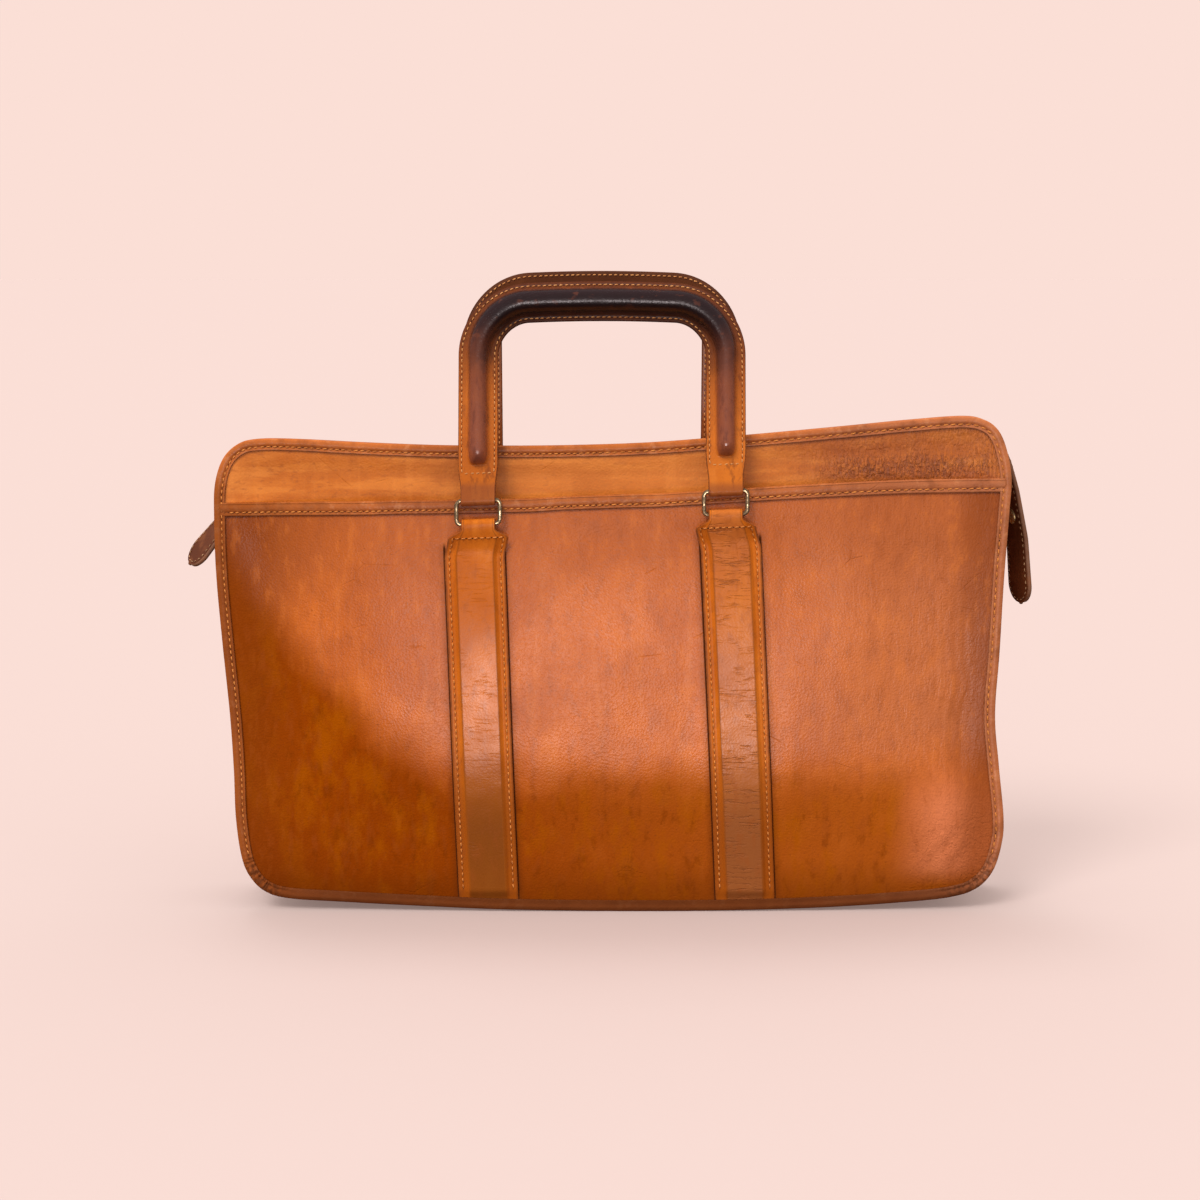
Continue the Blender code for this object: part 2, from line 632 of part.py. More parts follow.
def add_handle(prefix, side, cover_mat, backing_mat, core_mat):
    """Grip strip moulded over a round core, its tabs looped on the rings, with a flat backing strip."""
    inner_out = LOOP_RADIUS - 0.5 * STRAP_LEATHER
    outer_out = LOOP_RADIUS + 0.5 * STRAP_LEATHER
    s = HANDLE_STRIP_HALF
    under = [(-s, inner_out, -s, inner_out), (-8.0, inner_out, -5.6, inner_out),
             (-5.4, inner_out, -4.7, 4.0), (-3.2, inner_out, -3.4, 8.2), (0.0, inner_out, 0.0, 10.1)]
    over = [(-s, outer_out, -s, outer_out), (-8.0, outer_out, -6.8, outer_out),
            (-5.4, outer_out, -6.1, 4.6), (-3.2, outer_out, -4.4, 9.2), (0.0, outer_out, 0.0, 11.5)]
    under = under + [(-a, b, -c, d) for a, b, c, d in under[-2::-1]]
    over = over + [(-a, b, -c, d) for a, b, c, d in over[-2::-1]]
    legs = [0.0, 6.0, CORE_END_Z, CORE_END_Z + 1.4, CORE_END_Z + 2.8, CORE_END_Z + 4.0, 48.0]
    grids = []
    for chain, sign in ((over, 1.0), (under, -1.0)):
        acrosses = np.array([a for a, _, _, _ in chain]) * NECK_HALF / s
        left_x, right_x = HANDLE_MID_X - HANDLE_HALF, HANDLE_MID_X + HANDLE_HALF
        left = loop_rows(side, left_x, -1.0, sign, acrosses)[::-1]
        right = loop_rows(side, right_x, 1.0, sign, acrosses)
        rows = left + handle_rows(side, chain, legs, True) + right
        grids.append(lean_points(side, np.array(rows)))
    pivot = handle_bar(side, RING_X[0])
    add_object(prefix + "_cover", *slab(grids[0], grids[1]), cover_mat, pivot)

    front_face = inner_out - GAP
    backing_legs = [4.0, 20.0, 48.0]
    grids = []
    for out_by in (front_face, front_face - LEATHER):
        chain = [(-s, out_by, -s, out_by), (0.0, out_by, 0.0, out_by), (s, out_by, s, out_by)]
        grids.append(lean_points(side, np.array(handle_rows(side, chain, backing_legs, False))))
    add_object(prefix + "_backing", *slab(grids[0], grids[1]), backing_mat, pivot)

    sections = []
    middle = front_face + GAP + CORE_RADIUS
    for x, h, nx, nz in arch_path([CORE_END_Z + 4.6, 48.0], 6):
        ring = []
        for k in range(8):
            turn = 2.0 * math.pi * (k + 0.5) / 8
            a = CORE_RADIUS * math.cos(turn)
            b = middle + CORE_RADIUS * math.sin(turn)
            ring.append(handle_point(side, x + nx * a, h + nz * a, b, leg_shear(h)))
        sections.append(ring)
    add_object(prefix + "_core", *tube(lean_points(side, np.array(sections))), core_mat, pivot)


def zip_point(a, y, c):
    """Point in the zip's frame: a along it, y across the bag, c square to its plane."""
    return np.array([a * math.cos(ZIP_ANGLE) - c * math.sin(ZIP_ANGLE), y,
                     ZIP_MID_Z + a * math.sin(ZIP_ANGLE) + c * math.cos(ZIP_ANGLE)])


def add_zip_bar(name, stations, ys, cs, mat, origin=None):
    """Straight bar along the zip with a rectangular section."""
    sections = []
    for a in stations:
        sections.append([zip_point(a, ys[0], cs[0]), zip_point(a, ys[1], cs[0]),
                         zip_point(a, ys[1], cs[1]), zip_point(a, ys[0], cs[1])])
    base = origin if origin is not None else (0.0, 0.0, 0.0)
    add_object(name, *tube(sections), mat, base)


def add_flap(prefix, side, welt_mat, tape_mat, chain_mat):
    """One half of the zipped mouth: leather welt, zip tape and its row of teeth as a plain bar."""
    hinge = zip_point(0.0, side * FLAP_AXIS, 0.0)
    runs = np.linspace(-FLAP_HALF_LENGTH, FLAP_HALF_LENGTH, 5)
    add_zip_bar(prefix + "_zip_welt", runs, (side * WELT_INNER, side * FLAP_OUTER), (-0.8, 0.8), welt_mat, hinge)
    add_zip_bar(prefix + "_zip_tape", runs, (side * TAPE_INNER, side * TAPE_OUTER), (-1.9, -1.1), tape_mat, hinge)
    add_zip_bar(prefix + "_zip_chain", runs, (side * CHAIN_INNER, side * CHAIN_OUTER), (-1.3, 1.3), chain_mat,
                hinge)


def add_zip_end(name, sign, mat):
    """Leather end piece, slotted where the slider parks."""
    plan = [(END_INNER, -END_HALF), (END_OUTER, -END_HALF), (END_OUTER, END_HALF), (END_INNER, END_HALF),
            (END_INNER, 0.95), (SLOT_END, 0.95), (SLOT_END, -0.95), (END_INNER, -0.95)]
    sections = [[zip_point(sign * a, y, c) for a, y in plan] for c in (-0.8, 0.8)]
    add_object(name, *tube(sections), mat)


def add_slider(mat):
    """Zip slider parked at the right end: two plates, the neck between them and a bridge on top."""
    section = [(-4.4, -3.4), (4.4, -3.4), (4.4, -2.2), (0.5, -2.2), (0.5, 1.7), (4.4, 1.7),
               (4.4, 2.8), (-4.4, 2.8), (-4.4, 1.7), (-0.5, 1.7), (-0.5, -2.2), (-4.4, -2.2)]
    ends = (SLIDER_AT - 0.5 * SLIDER_LENGTH, SLIDER_AT + 0.5 * SLIDER_LENGTH)
    sections = [[zip_point(a, y, c) for y, c in section] for a in ends]
    centre = zip_point(SLIDER_AT, 0.0, 0.0)
    add_object("zip_slider", *tube(sections), mat, centre)
    profile = [(-4.2, 3.1), (-4.2, 5.2), (-3.2, 6.2), (3.2, 6.2), (4.2, 5.2), (4.2, 3.1)]
    under = [(-3.1, 3.1), (-3.1, 4.7), (-2.6, 5.1), (2.6, 5.1), (3.1, 4.7), (3.1, 3.1)]
    grids = []
    for chain in (profile, under):
        grids.append([[zip_point(SLIDER_AT + a, y, c) for y in (-0.8, 0.8)] for a, c in chain])
    add_object("zip_slider_bridge", *slab(grids[0], grids[1]), mat, centre)


def add_pull(mat):
    """Long wire pull hung in the slider's bridge, lying outwards along the zip."""
    path = [(0.0, -2.6), (0.0, 2.6), (PULL_LENGTH * 0.3, 3.2), (PULL_LENGTH - 2.0, 3.6),
            (PULL_LENGTH, 2.0), (PULL_LENGTH, -2.0), (PULL_LENGTH - 2.0, -3.6), (PULL_LENGTH * 0.3, -3.2)]
    flat = np.array(path)
    around = np.roll(flat, -1, axis=0) - np.roll(flat, 1, axis=0)
    around /= np.linalg.norm(around, axis=1)[:, None]
    inward = np.stack([-around[:, 1], around[:, 0]], axis=1)
    sections = []
    for (a, y), n in zip(flat, inward):
        ring = []
        for r, c in ((-0.65, -0.6), (0.65, -0.6), (0.65, 0.6), (-0.65, 0.6)):
            ring.append(zip_point(SLIDER_AT + a + n[0] * r, y + n[1] * r, PULL_AXIS_C + c))
        sections.append(ring)
    add_object("zip_pull", *tube(sections, wrap=True), mat, zip_point(SLIDER_AT, 0.0, PULL_AXIS_C))


def add_tab(name, path, twists, mat):
    """Tongue of two leathers sewn together, hanging from one end of the zip, with a rounded tip."""
    pts = np.array(path)
    steps = np.linalg.norm(np.diff(pts, axis=0), axis=1)
    length = np.concatenate([[0.0], np.cumsum(steps)])
    total = length[-1] + TAB_HALF
    places = np.concatenate([np.linspace(0.0, length[-1], 10),
                             length[-1] + TAB_HALF * np.array([0.35, 0.65, 0.87, 1.0])])
    last_dir = (pts[-1] - pts[-2]) / steps[-1]
    outer, inner = [], []
    for d in places:
        beyond = max(0.0, d - length[-1])
        mid = resample(pts, [min(d, length[-1]) / length[-1]])[0] + last_dir * beyond
        near = resample(pts, [max(0.0, d - 2.0) / length[-1], min(d + 2.0, length[-1]) / length[-1]])
        run = near[1] - near[0] if beyond == 0.0 else last_dir
        run = run / np.linalg.norm(run)
        half = TAB_HALF * math.sqrt(max(0.02, 1.0 - (beyond / TAB_HALF) ** 2))
        half = half * (0.82 + 0.18 * float(ease(d / 20.0)))
        twist = math.radians(float(np.interp(min(d, length[-1]), length, twists)))
        normal = np.array([-run[1], 0.0, run[0]])
        if normal[0] * pts[-1][0] < 0.0:
            normal = -normal
        across = np.array([0.0, 1.0, 0.0]) * math.cos(twist) + normal * math.sin(twist)
        face = normal * math.cos(twist) - np.array([0.0, 1.0, 0.0]) * math.sin(twist)
        centre = np.array([mid[0], 0.0, mid[1]])
        outer.append([centre + across * half * k + face * TAB_LEATHER * 0.5 for k in (-1.0, -0.4, 0.4, 1.0)])
        inner.append([centre + across * half * k - face * TAB_LEATHER * 0.5 for k in (-1.0, -0.4, 0.4, 1.0)])
    add_object(name, *slab(outer, inner), mat, (pts[0][0], 0.0, pts[0][1]))


def build():
    clear_scene()
    tan = make_material("leather_panel", LEATHER_TAN, 0.45, 0.0)
    edge = make_material("leather_binding", LEATHER_EDGE, 0.5, 0.0)
    strap = make_material("leather_strap", LEATHER_TAN, 0.4, 0.0)
    grip = make_material("leather_grip", LEATHER_DARK, 0.3, 0.0)
    brass = make_material("antique_brass", BRASS_OLD, 0.35, 1.0)
    tape = make_material("zip_tape", TAPE_BROWN, 0.9, 0.0)
    cord = make_material("handle_core", CORD_TAN, 0.8, 0.0)

    add_panel("front_panel", FRONT, -0.7, front_bulge, tan)
    add_pocket(tan, edge)
    add_panel("back_panel", BACK, -0.7, back_bulge, tan)
    add_gusset(tan)
    add_binding("front_edge_binding", FRONT, edge)
    add_binding("back_edge_binding", BACK, edge)
    for prefix, side in (("front", FRONT), ("back", BACK)):
        for which, word in ((0, "left"), (1, "right")):
            add_ring(prefix + "_ring_" + word, side, which, brass)
            add_strap(prefix + "_strap_" + word, side, which, strap)
        add_handle(prefix + "_handle", side, grip, strap, cord)
        add_flap(prefix, side, strap, tape, brass)
    add_zip_end("zip_end_left", -1.0, strap)
    add_zip_end("zip_end_right", 1.0, strap)
    add_slider(brass)
    add_pull(brass)
    add_tab("zip_tab_left", LEFT_TAB, LEFT_TWIST, strap)
    add_tab("zip_tab_right", RIGHT_TAB, RIGHT_TWIST, strap)


build()
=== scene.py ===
"""Looks of a worn tan leather briefcase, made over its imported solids.

Shapes are worked out in millimetres and stored in metres. X runs to the right as seen from the front,
the front faces -Y, and the floor is z = 0.
"""
import math

import bmesh
import bpy
import numpy as np
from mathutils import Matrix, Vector


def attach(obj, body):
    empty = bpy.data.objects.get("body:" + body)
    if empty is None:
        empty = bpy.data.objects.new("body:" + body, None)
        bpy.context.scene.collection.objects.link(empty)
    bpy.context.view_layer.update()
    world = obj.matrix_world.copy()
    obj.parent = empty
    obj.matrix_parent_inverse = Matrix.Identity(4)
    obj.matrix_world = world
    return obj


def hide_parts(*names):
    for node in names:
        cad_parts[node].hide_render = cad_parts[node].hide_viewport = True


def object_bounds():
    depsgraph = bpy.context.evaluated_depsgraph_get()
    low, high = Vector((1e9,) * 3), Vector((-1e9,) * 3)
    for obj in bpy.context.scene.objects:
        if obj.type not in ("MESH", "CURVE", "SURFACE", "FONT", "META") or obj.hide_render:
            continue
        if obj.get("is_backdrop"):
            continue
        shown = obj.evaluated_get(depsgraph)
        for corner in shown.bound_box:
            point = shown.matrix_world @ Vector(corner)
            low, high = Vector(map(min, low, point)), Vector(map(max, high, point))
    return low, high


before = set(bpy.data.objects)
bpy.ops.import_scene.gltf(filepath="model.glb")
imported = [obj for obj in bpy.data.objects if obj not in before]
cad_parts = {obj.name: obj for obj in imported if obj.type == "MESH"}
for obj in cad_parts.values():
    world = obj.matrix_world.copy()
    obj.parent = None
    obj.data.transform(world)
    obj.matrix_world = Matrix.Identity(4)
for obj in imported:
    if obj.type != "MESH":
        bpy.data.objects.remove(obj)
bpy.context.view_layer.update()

MM = 0.001
FRONT = -1.0
BACK = 1.0

# ---------------------------------------------------------------------------------------------
# Studio. The bag stands on a wide sheet of pale pink paper under soft daylight from the upper
# left. Two soft panels in front of it, one small and one wide, put the sheen on the leather.
PAPER = (0.965, 0.738, 0.672)
CAMERA_AIM = Vector((-0.0065, -0.03, 0.174))
CAMERA_DISTANCE = 1.30
CAMERA_RISE = math.radians(8.0)
CAMERA_LENS = 71.4
PAPER_BASE = (0.4067, 0.3220, 0.3063, 1.0)
PAPER_GLOW = 0.20
PAPER_REACH = 60.0


class Strand:
    """A socket of a node tree. Sums, products and powers of strands add Math nodes."""

    def __init__(self, socket):
        self.socket = socket

    def node(self, kind, settings=None, inputs=None, output=0):
        """Add a node of this kind: its settings first, then the values or links of its sockets."""
        tree = self.socket.id_data
        made = tree.nodes.new(kind)
        for key, value in (settings or {}).items():
            setattr(made, key, value)
        for key, value in (inputs or {}).items():
            if isinstance(value, Strand):
                tree.links.new(value.socket, made.inputs[key])
            else:
                made.inputs[key].default_value = value
        return Strand(made.outputs[output])

    def feed(self, socket):
        """Lead this strand into a shader's own socket."""
        self.socket.id_data.links.new(self.socket, socket)

    def sum(self, operation, first, second=0.0):
        """Strand of a Math node."""
        return self.node("ShaderNodeMath", {"operation": operation}, {0: first, 1: second})

    def __add__(self, other):
        return self.sum("ADD", self, other)

    def __radd__(self, other):
        return self.sum("ADD", other, self)

    def __sub__(self, other):
        return self.sum("SUBTRACT", self, other)

    def __rsub__(self, other):
        return self.sum("SUBTRACT", other, self)

    def __mul__(self, other):
        return self.sum("MULTIPLY", self, other)

    def __rmul__(self, other):
        return self.sum("MULTIPLY", other, self)

    def __truediv__(self, other):
        return self.sum("DIVIDE", self, other)

    def __pow__(self, other):
        return self.sum("POWER", self, other)

    def __abs__(self):
        return self.sum("ABSOLUTE", self)


def rise(value, low, high):
    """Smooth step of a strand, from 0 at low to 1 at high."""
    return value.node("ShaderNodeMapRange", {"interpolation_type": "SMOOTHSTEP"},
                      {"Value": value, "From Min": low, "From Max": high})


def dye(mask, under, over):
    """Colour that goes from under to over as the mask goes from 0 to 1."""
    under, over = [c if isinstance(c, Strand) else (*c, 1.0) for c in (under, over)]
    return mask.node("ShaderNodeMix", {"data_type": "RGBA"}, {0: mask, 6: under, 7: over}, 2)


def add_to_scene(name, data):
    """Object at the origin that shows a mesh, a lamp or a camera."""
    obj = bpy.data.objects.new(name, data)
    bpy.context.collection.objects.link(obj)
    return obj


def point_at(obj, target):
    """Turn a lamp or the camera towards a place."""
    obj.rotation_euler = (target - obj.location).to_track_quat("-Z", "Y").to_euler()


camera = add_to_scene("camera", bpy.data.cameras.new("camera"))
camera.data.lens = CAMERA_LENS
camera.data.sensor_width = 36.0
camera.data.clip_end = 200.0
camera_side = Vector((0.0, -math.cos(CAMERA_RISE), math.sin(CAMERA_RISE)))
camera.location = CAMERA_AIM + CAMERA_DISTANCE * camera_side
point_at(camera, CAMERA_AIM)
bpy.context.scene.camera = camera
bpy.context.scene.view_settings.view_transform = "Standard"

paper_mesh = bpy.data.meshes.new("paper")
paper_corners = [(x * PAPER_REACH, y * PAPER_REACH, 0.0) for x, y in ((-1, -1), (1, -1), (1, 1), (-1, 1))]
paper_mesh.from_pydata(paper_corners, [], [(0, 1, 2, 3)])
paper = add_to_scene("paper", paper_mesh)
paper_finish = bpy.data.materials.new("paper")
paper_finish.use_nodes = True
paper_shader = paper_finish.node_tree.nodes["Principled BSDF"]
paper_shader.inputs["Base Color"].default_value = PAPER_BASE
paper_shader.inputs["Emission Color"].default_value = (*PAPER, 1.0)
paper_shader.inputs["Emission Strength"].default_value = PAPER_GLOW
paper_shader.inputs["Roughness"].default_value = 1.0
paper_shader.inputs["Specular IOR Level"].default_value = 0.0
paper_mesh.materials.append(paper_finish)
paper.visible_glossy = False
paper.visible_diffuse = False
paper.visible_shadow = False
paper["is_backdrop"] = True

room = bpy.data.worlds.new("room")
bpy.context.scene.world = room
room.use_nodes = True
backdrop = room.node_tree.nodes["Background"]
start = Strand(backdrop.inputs["Color"])
ray = start.node("ShaderNodeLightPath", output="Is Camera Ray")
gleam = start.node("ShaderNodeLightPath", output="Is Glossy Ray")
sky = start.node("ShaderNodeTexCoord", output="Generated")
height = sky.node("ShaderNodeSeparateXYZ", inputs={0: sky}, output="Z")
soft = dye(rise(height, -0.45, 0.75), (0.42, 0.33, 0.29), (1.30, 1.25, 1.20))
dim = dye(rise(height, -0.16, 0.20), (0.010, 0.006, 0.006), (0.26, 0.23, 0.24))
dye(ray, dye(gleam, soft, dim), PAPER).feed(backdrop.inputs["Color"])
room.cycles.sampling_method = "NONE"

for name, power, spread, tint, place, target in (
        ("daylight", 1.9, 24.0, (1.0, 0.97, 0.93), (-0.9, -1.5, 1.9), (0.0, 0.0, 0.1)),
        ("overhead", 0.8, 20.0, (1.0, 1.0, 1.0), (-0.12, 0.35, 1.0), (0.0, 0.0, 0.0))):
    lamp = add_to_scene(name, bpy.data.lights.new(name, "SUN"))
    lamp.data.energy = power
    lamp.data.angle = math.radians(spread)
    lamp.data.color = tint
    lamp.location = place
    point_at(lamp, Vector(target))
    lamp.visible_glossy = False

for name, place, size, power, tint, lean in (
        ("small_panel", (-0.08, -1.70, -0.06), (0.42, 0.26), 11.0, (1.0, 0.88, 0.88), 0.0),
        ("wide_panel", (0.32, -1.90, 0.16), (2.3, 0.62), 5.0, (1.0, 0.86, 0.84), 9.0)):
    lamp = add_to_scene(name, bpy.data.lights.new(name, "AREA"))
    lamp.data.shape = "RECTANGLE"
    lamp.data.size, lamp.data.size_y = size
    lamp.data.energy = power
    lamp.data.color = tint
    lamp.location = place
    lamp.rotation_euler = (math.radians(90.0), math.radians(lean), 0.0)
    lamp.visible_diffuse = False
    lamp.visible_camera = False

# ---------------------------------------------------------------------------------------------
# Front panel. Full-grain cowhide, 1.4 mm, vegetable tanned; only its upper part shows above the
# slip pocket, where the hide is rougher, paler and crinkled towards the right-hand corner.
OUTLINE = [
    (-193.0, 10.5), (-180.0, 6.5), (-148.0, 4.6), (-110.0, 2.8), (-60.0, 0.8),
    (0.0, 0.0), (60.0, 0.2), (115.0, 1.6), (160.0, 4.2), (188.0, 7.0),
    (203.0, 12.0), (212.0, 22.0), (216.5, 37.0), (217.3, 52.0), (214.0, 82.0),
    (211.4, 110.0), (213.2, 145.0), (214.8, 185.0), (217.0, 222.0), (217.8, 240.0),
    (214.9, 255.6), (210.0, 266.4), (202.0, 272.2), (190.0, 274.0), (162.0, 272.0),
    (129.0, 268.8), (97.0, 265.8), (60.0, 262.6), (20.0, 259.6), (-20.0, 258.2),
    (-60.0, 257.8), (-100.0, 258.2), (-140.0, 259.8), (-175.0, 261.6), (-194.0, 261.4),
    (-204.0, 258.6), (-212.0, 250.5), (-216.4, 237.0), (-217.2, 220.0), (-216.7, 188.0),
    (-214.0, 150.0), (-210.6, 110.0), (-209.0, 78.0), (-208.4, 52.0), (-205.6, 30.0),
    (-201.0, 18.5),
]
CORNERS = [(-200.0, 16.0), (210.0, 18.0), (210.0, 266.4), (-208.0, 255.6)]
BACK_HEIGHT_SCALE = 0.987
SEAM_STEPS = 32
PANEL_INSET = 2.0
SEWN_EDGE = 6.0
HIDE_HALF = 0.7
GAP = 0.3


def ease(value):
    """Smooth step from 0 to 1 of plain numbers."""
    t = np.clip(value, 0.0, 1.0)
    return t * t * (3.0 - 2.0 * t)


def waver(u, v, seed):
    """Smooth random height from -1 to 1: random values at whole numbers of u and v, joined by smooth steps."""
    table = np.random.default_rng(seed).uniform(-1.0, 1.0, (64, 64))
    iu, iv = np.floor(u).astype(int), np.floor(v).astype(int)
    fu, fv = ease(u - iu), ease(v - iv)
    low = table[iu % 64, iv % 64] * (1 - fu) + table[(iu + 1) % 64, iv % 64] * fu
    high = table[iu % 64, (iv + 1) % 64] * (1 - fu) + table[(iu + 1) % 64, (iv + 1) % 64] * fu
    return low * (1 - fv) + high * fv


def unit(vectors):
    """Vectors brought to length 1."""
    return vectors / np.linalg.norm(vectors, axis=-1, keepdims=True)


def seam_line(side, inset):
    """Closed Catmull-Rom curve through the outline, moved square to itself towards the inside."""
    p1 = np.array(OUTLINE)[:, None, :]
    p0, p2, p3 = np.roll(p1, 1, 0), np.roll(p1, -1, 0), np.roll(p1, -2, 0)
    t = (np.arange(SEAM_STEPS) / SEAM_STEPS)[None, :, None]
    curve = 0.5 * (2 * p1 + (p2 - p0) * t + (2 * p0 - 5 * p1 + 4 * p2 - p3) * t ** 2
                   + (3 * p1 - p0 - 3 * p2 + p3) * t ** 3)
    curve = curve.reshape(-1, 2)
    if side > 0:
        curve = curve * np.array([1.0, BACK_HEIGHT_SCALE])
    tangent = unit(np.roll(curve, -1, 0) - np.roll(curve, 1, 0))
    return curve + np.stack([-tangent[:, 1], tangent[:, 0]], 1) * inset


def nearest(curve, point):
    """Place in a curve of its point nearest to the given one."""
    return int(np.argmin(np.sum((curve - np.array(point)) ** 2, 1)))


def along(curve, shares):
    """Points at the given shares of the length of an open curve."""
    length = np.concatenate([[0.0], np.cumsum(np.linalg.norm(np.diff(curve, axis=0), axis=1))])
    places = np.asarray(shares) * length[-1]
    return np.stack([np.interp(places, length, curve[:, k]) for k in range(curve.shape[1])], -1)


def seam_sides(side, inset):
    """Bottom, right, top and left of the outline, run left to right and bottom to top."""
    curve = seam_line(side, inset)
    a, b, c, d = [nearest(curve, corner) for corner in CORNERS]
    count = len(curve)

    def part(start, stop):
        return curve[np.arange(start, stop + 1 + (count if stop <= start else 0)) % count]
    return part(a, b), part(b, c), part(c, d)[::-1], part(d, a)[::-1]


def fill(bottom, right, top, left, across, upward):
    """Grid of (x, z) between four edges: each pair of opposite edges blended, less the blended corners."""
    low, high = along(bottom, across)[None], along(top, across)[None]
    west, east = along(left, upward)[:, None], along(right, upward)[:, None]
    s, t = across[None, :, None], upward[:, None, None]
    flat = (1 - t) * low + t * high + (1 - s) * west + s * east
    return flat - ((1 - s) * (1 - t) * low[:, :1] + s * (1 - t) * low[:, -1:]
                   + (1 - s) * t * high[:, :1] + s * t * high[:, -1:])


def half_depth(x, z):
    """Distance of the middle of a seam from the middle plane: less towards the top and the upright ends."""
    return 30.4 - 0.031 * z - 4.0 * (x / 210.0) ** 2 * (1.0 - z / 300.0)


def belly(x, z):
    """1 in the middle of a face, 0 at its sides and its bottom edge."""
    return ease((208.0 - np.abs(x)) / 90.0) * ease(z / 90.0)


def top_line(x):
    """Height of the front's top edge, in three straight runs."""
    return np.interp(x, [-200.0, -60.0, 190.0], [260.0, 257.0, 273.0])


def front_bulge(x, z):
    """How far the front panel bellies out."""
    return 0.4 * belly(x, z) * ease((top_line(x) - z) / 60.0)


def out_from(side, xz, w):
    """3-D points from (x, z) and the distance w outwards from the middle of the seam."""
    x, z = xz[..., 0], xz[..., 1]
    return np.stack([x, side * (half_depth(x, z) + w), z], -1)


def shell(outer, inner):
    """Closed sheet between two matching grids: a ring of outer and inner points on each row, and flat ends."""
    ring = np.concatenate([outer, inner[:, ::-1]], 1)
    middle = 0.5 * (outer + inner)
    middle = np.concatenate([middle, middle[:, ::-1]], 1)
    return np.concatenate([middle[:1], ring, middle[-1:]])


def piece(name, points, finish, body, wrap=False, marks=None, replaces=(), sharp=None):
    """Mesh of quads over a grid of points in millimetres, whose columns close on themselves, with its seams
    and poles merged and its faces turned outwards. Marks are numbers kept at the points for the finish."""
    rows, cols = points.shape[:2]
    i = np.arange(rows if wrap else rows - 1)[:, None]
    j = np.arange(cols)[None, :]
    quads = np.stack([i * cols + j + 0 * i, i * cols + (j + 1) % cols,
                      (i + 1) % rows * cols + (j + 1) % cols, (i + 1) % rows * cols + j], -1).reshape(-1, 4)
    mesh_piece(name, points.reshape(-1, 3), quads.tolist(), finish, body, True, marks, replaces, sharp)


def mesh_piece(name, points, faces, finish, body, merge=False, marks=None, replaces=(), sharp=None):
    """Object from points in millimetres and faces, riding on a body and standing for the named solids."""
    mesh = bpy.data.meshes.new(name)
    mesh.from_pydata(points * MM, [], faces)
    for key, values in (marks or {}).items():
        mark = mesh.attributes.new(key, "FLOAT", "POINT")
        mark.data.foreach_set("value", np.ascontiguousarray(values, dtype=np.float32).ravel())
    work = bmesh.new()
    work.from_mesh(mesh)
    if merge:
        bmesh.ops.remove_doubles(work, verts=work.verts[:], dist=2e-6)
    if work.calc_volume(signed=True) < 0.0:
        bmesh.ops.reverse_faces(work, faces=work.faces[:])
    work.to_mesh(mesh)
    work.free()
    mesh.shade_smooth()
    if sharp:
        mesh.set_sharp_from_angle(angle=math.radians(sharp))
    mesh.materials.append(finish)
    obj = add_to_scene(name, mesh)
    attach(obj, body)
    if replaces:
        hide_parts(*replaces)


def new_finish(name):
    """Material, its shader, and the strand of places on the piece in millimetres."""
    material = bpy.data.materials.new(name)
    material.use_nodes = True
    shader = material.node_tree.nodes["Principled BSDF"]
    at = Strand(shader.inputs["Base Color"]).node("ShaderNodeTexCoord", output="Object")
    at = at.node("ShaderNodeVectorMath", {"operation": "SCALE"}, {0: at, "Scale": 1.0 / MM})
    return material, shader, at


def part_of(at, axis):
    """One coordinate of a place."""
    return at.node("ShaderNodeSeparateXYZ", inputs={0: at}, output=axis)


def mark_at(at, key):
    """A number kept at the points of a piece."""
    return at.node("ShaderNodeAttribute", {"attribute_name": key}, output="Fac")


def relief(level):
    """Bumpy normal of a height in millimetres."""
    return level.node("ShaderNodeBump", {}, {"Height": level, "Distance": MM})


def stretched(at, size, stretch):
    """Places counted in sizes that are lengthened by stretch along each axis."""
    shares = tuple(1.0 / (size * s) for s in stretch)
    return at.node("ShaderNodeVectorMath", {"operation": "MULTIPLY"}, {0: at, 1: shares})


def blotch(at, size, stretch=(1.0, 1.0, 1.0), detail=3.0, roughness=0.5, warp=0.0):
    """Soft random patches about size mm across, lengthened by stretch along each axis."""
    return at.node("ShaderNodeTexNoise", {}, {"Vector": stretched(at, size, stretch), "Scale": 1.0,
                                              "Detail": detail, "Roughness": roughness, "Distortion": warp})


def cells(at, size, feature="F1", stretch=(1.0, 1.0, 1.0)):
    """Distance inside random cells about size mm across."""
    return at.node("ShaderNodeTexVoronoi", {"feature": feature},
                   {"Vector": stretched(at, size, stretch), "Scale": 1.0}, "Distance")


